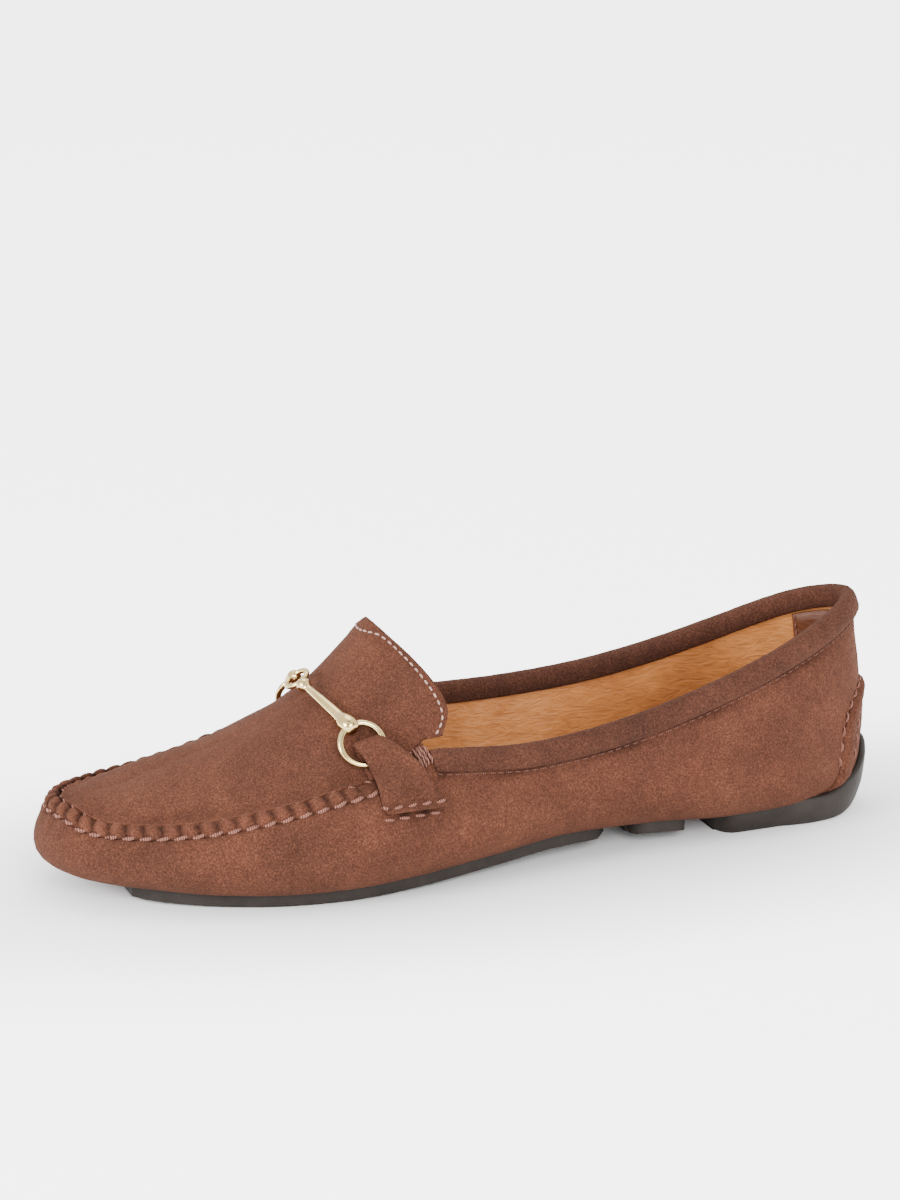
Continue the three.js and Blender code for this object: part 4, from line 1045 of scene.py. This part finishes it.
for side, word in ((1, "lateral"), (-1, "medial")):
    seat, sn = nearest(RING_BASE * np.array([1, side, 1]))
    centre = seat + sn * RING_LIFT
    to = np.array([LINK[0], side * 2.6, LINK[2] - 0.1])
    along = to - centre
    along = unit(along - sn * np.dot(along, sn))
    c, s_ = math.cos(RING_TILT), math.sin(RING_TILT)
    axis = sn * c - along * s_
    reach = along * c + sn * s_
    piece("ring_%s_wire" % word, *ring_body(centre, axis, RING_RADIUS, WIRE_RADIUS), GOLD, "metal",
          ("ring_" + word,))
    start = centre + reach * (RING_RADIUS - 2.0) + sn * 0.8
    t = BAR[:, :1]
    path = mix(start, to, t) + sn * 0.5 * np.sin(np.pi * t)
    body = Bundle()
    body.add(*sweep(path, BAR[:, 1], 28, sn, 0.94))
    collar_at = mix(start, to, 0.245)
    body.add(*ring_body(collar_at, unit(to - start), 1.75, 0.32, 36, 8))
    body.make("bar_%s_turned" % word, GOLD, "metal", ("bar_" + word,))
link = Bundle()
link.add(*ring_body(LINK, (0.55, 0, 0.8), 3.4, 0.75, 64, 14, (0, 1, 0)))
link.make("bit_link_wire", GOLD, "metal", ("bit_link",))

# ---- heel patch, insole and rubber

PATCH = [(18.5, 7), (20.3, 14), (20.4, 22), (19.4, 28), (16, 33.8), (9.5, 37.6), (0, 38.8)]


BEHIND, FORWARD = -160, (1, 0, 0)


def from_behind(y, z):
    return REF.ray((BEHIND, y, z), FORWARD)


ROLL_WIDTH = 4.1


def patch_outline(count):
    past_top = (-PATCH[-2][0], PATCH[-2][1])
    half = catmull([(y, z, 0) for y, z in PATCH + [past_top]], np.linspace(0, 6 / 7, 60))[:, :2]
    foot = [(y, 7.0) for y in np.linspace(-17, 17, 12)]
    whole = np.concatenate([half, half[:-1][::-1] * (-1, 1), foot, half[:1]])
    span = lengths(whole)
    d = np.linspace(0, span[-1], count + 1)[:-1]
    return on_line(d, span, whole), d


def heel_patch():
    ring, along = patch_outline(220)
    centre = np.array([0.0, 19.0])
    reach = np.linalg.norm(ring - centre, axis=1)
    depth = [0.0, 0.25, 0.55, 1.0, 1.6, 2.3, 3.0, 3.6, 4.0, 4.3, 4.7, 5.3, 6.2, 7.5, 9.5, 12, 14.5,
             16.6]
    tops, lows = [], []
    for d in depth:
        top, low = [], []
        for i, b in enumerate(ring):
            k = 1 - min(0.985, d / 18.0) if d > 8 else 1 - d / reach[i]
            k = max(k, 0.02)
            y, z = centre + (b - centre) * k
            hit, n = from_behind(y, z)
            free = smooth(z, 9.5, 13.5)
            t = np.clip(d / ROLL_WIDTH, 0, 1)
            roll = (4 * t * (1 - t)) ** 0.6 if d < ROLL_WIDTH else 0.0
            puck = abs(math.sin(math.pi * along[i] / 4.6 + 0.4 * t))
            h = 1.05 + free * (0.85 * roll * (0.62 + 0.38 * puck ** 0.7))
            h -= free * 0.45 * math.exp(-((d - 4.25) / 0.3) ** 2)
            h += 0.12 * math.sin(0.5 * y + 1.0) * math.sin(0.37 * z) * (d > 5)
            h *= 0.35 + 0.65 * min(1.0, d / 0.8)
            top.append(hit + n * h)
            low.append(hit + n * 0.05)
        tops.append(np.array(top))
        lows.append(np.array(low))
    pts, faces = loft(tops[::-1] + lows)
    piece("heel_patch_sewn", pts, faces, SUEDE, "suede", ("heel_patch",))
    # Threads of the two rows
    threads = Bundle()
    patch_tree = BVHTree.FromPolygons([tuple(p) for p in pts], faces)
    for inset, pitch, length, radius in ((-0.35, 4.6, 3.3, 0.46), (4.25, 4.6, 3.0, 0.42)):
        path, norms = [], []
        for b in ring[ring[:, 1] > 16.0]:
            y, z = centre + (b - centre) * (1 - inset / np.linalg.norm(b - centre))
            hit, n = from_behind(y, z)
            far = patch_tree.ray_cast(Vector((BEHIND, y, z)), Vector(FORWARD))[0]
            if far is not None and far[0] < hit[0] + 0.2 and inset > 0:
                hit = np.array(far)
            path.append(hit + n * 0.12)
            norms.append(n)
        stitch_row(threads, np.array(path), np.array(norms), pitch, length, radius, 0.2, 0.25)
    threads.make("heel_thread", THREAD, "suede")


heel_patch()

# Sock over the insole, and the counter lining with its seam
sock_v = np.array([0, .3, .6, .8, .9, .95, .98])
SOCK_FLOOR, SOCK_THICK = 4.6, 0.9


def sock():
    pts, polys, info = build_sheet(lin_js, sock_v, np.array([4.0, 4.001]), False)
    keep = info[:, 2] < 2
    index = np.cumsum(keep) - 1
    polys = [[int(index[v]) for v in f] for f in polys if all(keep[v] for v in f)]
    pts, v = pts[keep], info[keep][:, 2]
    n = normals_of(pts, polys)
    edge = 0.25 + 0.75 * (1 - smooth(v, 0.9, 0.98))
    low = pts - n * SOCK_FLOOR
    top = pts - n * (SOCK_FLOOR + SOCK_THICK * edge)[:, None]
    x, y, _ = pts.T
    rear = np.exp(-((x + 88) / 22) ** 2 - (y / 19) ** 2)
    top -= n * (0.8 * rear)[:, None]
    all_pts, faces = shell(low, polys, top)
    piece("insole_sock", all_pts, faces, COUNTER, "lining")


sock()


def counter():
    probe = RIBS_FRONT + np.linspace(0.1, 1, 300) * RIBS_COLLAR
    start = np.interp(98.0, -SIDES[-1].topline((probe - RIBS_FRONT) / RIBS_COLLAR)[:, 0], probe)
    js = np.linspace(start, RIBS, 70)
    vs = np.array([1.9, 2.0, 2.1, 2.2, 2.3, 2.4, 2.5, 2.6, 2.7, 2.8, 2.87])
    rows = {sd: tub_points(sd, js, vs) for sd in (1, -1)}
    grid = np.concatenate([rows[1], rows[-1][:-1][::-1]])
    grid[len(js) - 1] = rows[1][-1]
    n = grid_normals(grid)
    m = len(grid)
    count = np.arange(m)
    rim = np.minimum(count, m - 1 - count)
    thick = (0.35 + 0.45 * smooth(rim, 0, 2.0))[:, None, None]
    waves = 0.12 * np.sin(grid[:, :, 2:] * 0.9 + np.sin(count * 0.11)[:, None, None] * 2.0)
    back_ = grid - n * (WALL - 0.15)
    face_ = grid - n * (WALL + thick + waves * (thick > 0.6))
    rings = [np.concatenate([back_[i], face_[i][::-1]]) for i in range(m)]
    piece("counter_lining", *loft(rings), COUNTER, "lining")
    threads = Bundle()
    for i in (3, m - 4):
        stitch_row(threads, face_[i][:1:-1], -n[i][:1:-1], 2.6, 1.9, 0.3, bury=0.12, sides=5)
    threads.make("counter_thread", THREAD, "lining")


counter()

# x of the outline, then the inset there at each height
HEEL_X_AT = [-117, -112, -106, -97, -85, -60]
HEEL_INSET = [
    (0.0, 1.9, 2.1, 2.7, 5.1, 9.1, 10.3), (0.35, 1.1, 1.4, 2.0, 4.5, 8.6, 9.9),
    (1.2, 0.2, 0.6, 1.3, 3.9, 8.0, 9.4), (3.5, -1.0, -0.5, 0.4, 3.0, 7.0, 8.6),
    (7.8, -2.3, -1.7, -0.4, 2.4, 5.6, 6.8), (12.0, -2.9, -2.2, 0.4, 3.5, 6.5, 7.5),
    (16.0, -3.3, -2.4, 0.8, 4.0, 7.0, 8.0), (20.4, -3.0, -1.8, 1.2, 4.0, 7.0, 8.0)]
HEEL_FRONT_X, HEEL_CORNER = -66, 5
HEEL_TOP = column([-117, -114, -110, -106, -100, -60], [20.2, 17.2, 13.0, 10.6, 8.8, 8.2])


def heel_rubber():
    columns = [(row[0], column(HEEL_X_AT, row[1:])) for row in HEEL_INSET]
    heights = [row[0] for row in HEEL_INSET]

    def ring(level, extra, floor_z=None):
        line = {}
        for side in (1, -1):
            sd = SIDES[side]
            a = np.linspace(sd.find(HEEL_FRONT_X), 1, 110)
            x, y, nx, ny = sd.at(a)
            top = HEEL_TOP(x)
            z = level * top if floor_z is None else np.full_like(x, floor_z)
            table = np.array([col(x) for _, col in columns])
            d = np.array([np.interp(z[i], heights, table[:, i]) for i in range(len(x))]) + extra
            px, py = x - nx * d, y - ny * d
            near = np.clip(HEEL_FRONT_X - px, 0, HEEL_CORNER)
            pull = HEEL_CORNER - np.sqrt(HEEL_CORNER ** 2 - (HEEL_CORNER - near) ** 2)
            line[side] = np.stack([px, py - np.sign(py) * pull, z], 1)
        return np.concatenate([line[1], line[-1][:-1][::-1]])
    rings = [ring(0, 1.5), ring(0, 0)]
    rings += [ring(f, 0) for f in (0.02, 0.05, 0.1, 0.18, 0.3, 0.45, 0.6, 0.75, 0.88, 0.95)]
    rings += [ring(0.985, 0.25), ring(1.0, 0.8), ring(1.0, 1.6), ring(0.8, 2.6), ring(0, 4.5, 6.6)]
    pts, faces = loft(rings)
    piece("heel_rubber", pts, faces, RUBBER, "rubber", ("heel_pad",))


heel_rubber()

for node, mat in (("insole", LINING), ("forefoot_pad", RUBBER), ("mid_pad", RUBBER)):
    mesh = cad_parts[node].data
    mesh.materials.clear()
    mesh.materials.append(mat)

# ---- stage and light


def stage_sheet(name, corners, mat):
    mesh = bpy.data.meshes.new(name)
    mesh.from_pydata([tuple(c) for c in corners], [], [(0, 1, 2, 3)])
    mesh.materials.append(mat)
    put_in_scene(name, mesh)


def floor(half=4.0, near=(0.150, 0.070)):
    """Pale floor that glows away from the shoe, outside an ellipse round it: painted light, with a
    painted contact shadow inside the ellipse.
    """
    look = Look("floor_white", 0.9, 0.1)
    squeeze = look.add("VectorMath")
    squeeze.operation = "MULTIPLY"
    squeeze.inputs[1].default_value = (1 / near[0], 1 / near[1], 0)
    look.links.new(look.coord, squeeze.inputs[0])
    away = look.add("VectorMath")
    away.operation = "LENGTH"
    look.links.new(squeeze.outputs[0], away.inputs[0])
    glow = look.add("MapRange", From_Min=0.55, From_Max=1.9, To_Min=0.0, To_Max=2.6,
                    Value=away.outputs["Value"])
    glow.interpolation_type = "SMOOTHSTEP"
    look.put(look.bsdf, Base_Color=(0.93, 0.93, 0.93, 1), Emission_Color=(1, 1, 1, 1),
             Emission_Strength=glow.outputs["Result"])
    corners = [(-half, -half, 0), (half, -half, 0), (half, half, 0), (-half, half, 0)]
    stage_sheet("floor", corners, look.mat)


def dark_card(place, width, height):
    """Black card out of the picture, for the metal to mirror."""
    place = np.array(place)
    aim = unit(-place)
    right = unit(np.cross(aim, (0, 0, 1)))
    up = np.cross(right, aim)
    stage_sheet("dark_card", [place + right * width * a + up * height * b
                              for a, b in ((-0.5, -0.5), (0.5, -0.5), (0.5, 0.5), (-0.5, 0.5))],
                CARD_BLACK)


def area(name, place, size, power):
    """Soft round light, aimed at the middle of the shoe."""
    data = bpy.data.lights.new(name, "AREA")
    data.shape = "DISK"
    data.size = size
    data.energy = power
    lamp = put_in_scene(name, data)
    lamp.location = place
    lamp.rotation_euler = (Vector((0, 0, 0.03)) - lamp.location).to_track_quat("-Z", "Y").to_euler()


floor()
black = Look("card_black", 1.0, 0.0)
black.put(black.bsdf, Base_Color=(0.01, 0.01, 0.01, 1))
CARD_BLACK = black.mat
dark_card((0.85, 1.05, 0.95), 0.30, 0.9)
dark_card((-0.75, 0.85, 0.75), 0.40, 0.9)
dark_card((0.25, 0.35, 1.5), 0.9, 0.22)
world = bpy.data.worlds.new("studio")
world.use_nodes = True
background = world.node_tree.nodes["Background"].inputs
background["Color"].default_value = (1, 1, 1, 1)
background["Strength"].default_value = 2.0
bpy.context.scene.world = world
area("key", (1.3, 0.35, 0.6), 0.6, 24)
area("front", (0.1, 1.4, 0.7), 0.8, 26)
area("top", (-0.1, -0.5, 1.3), 0.9, 6)
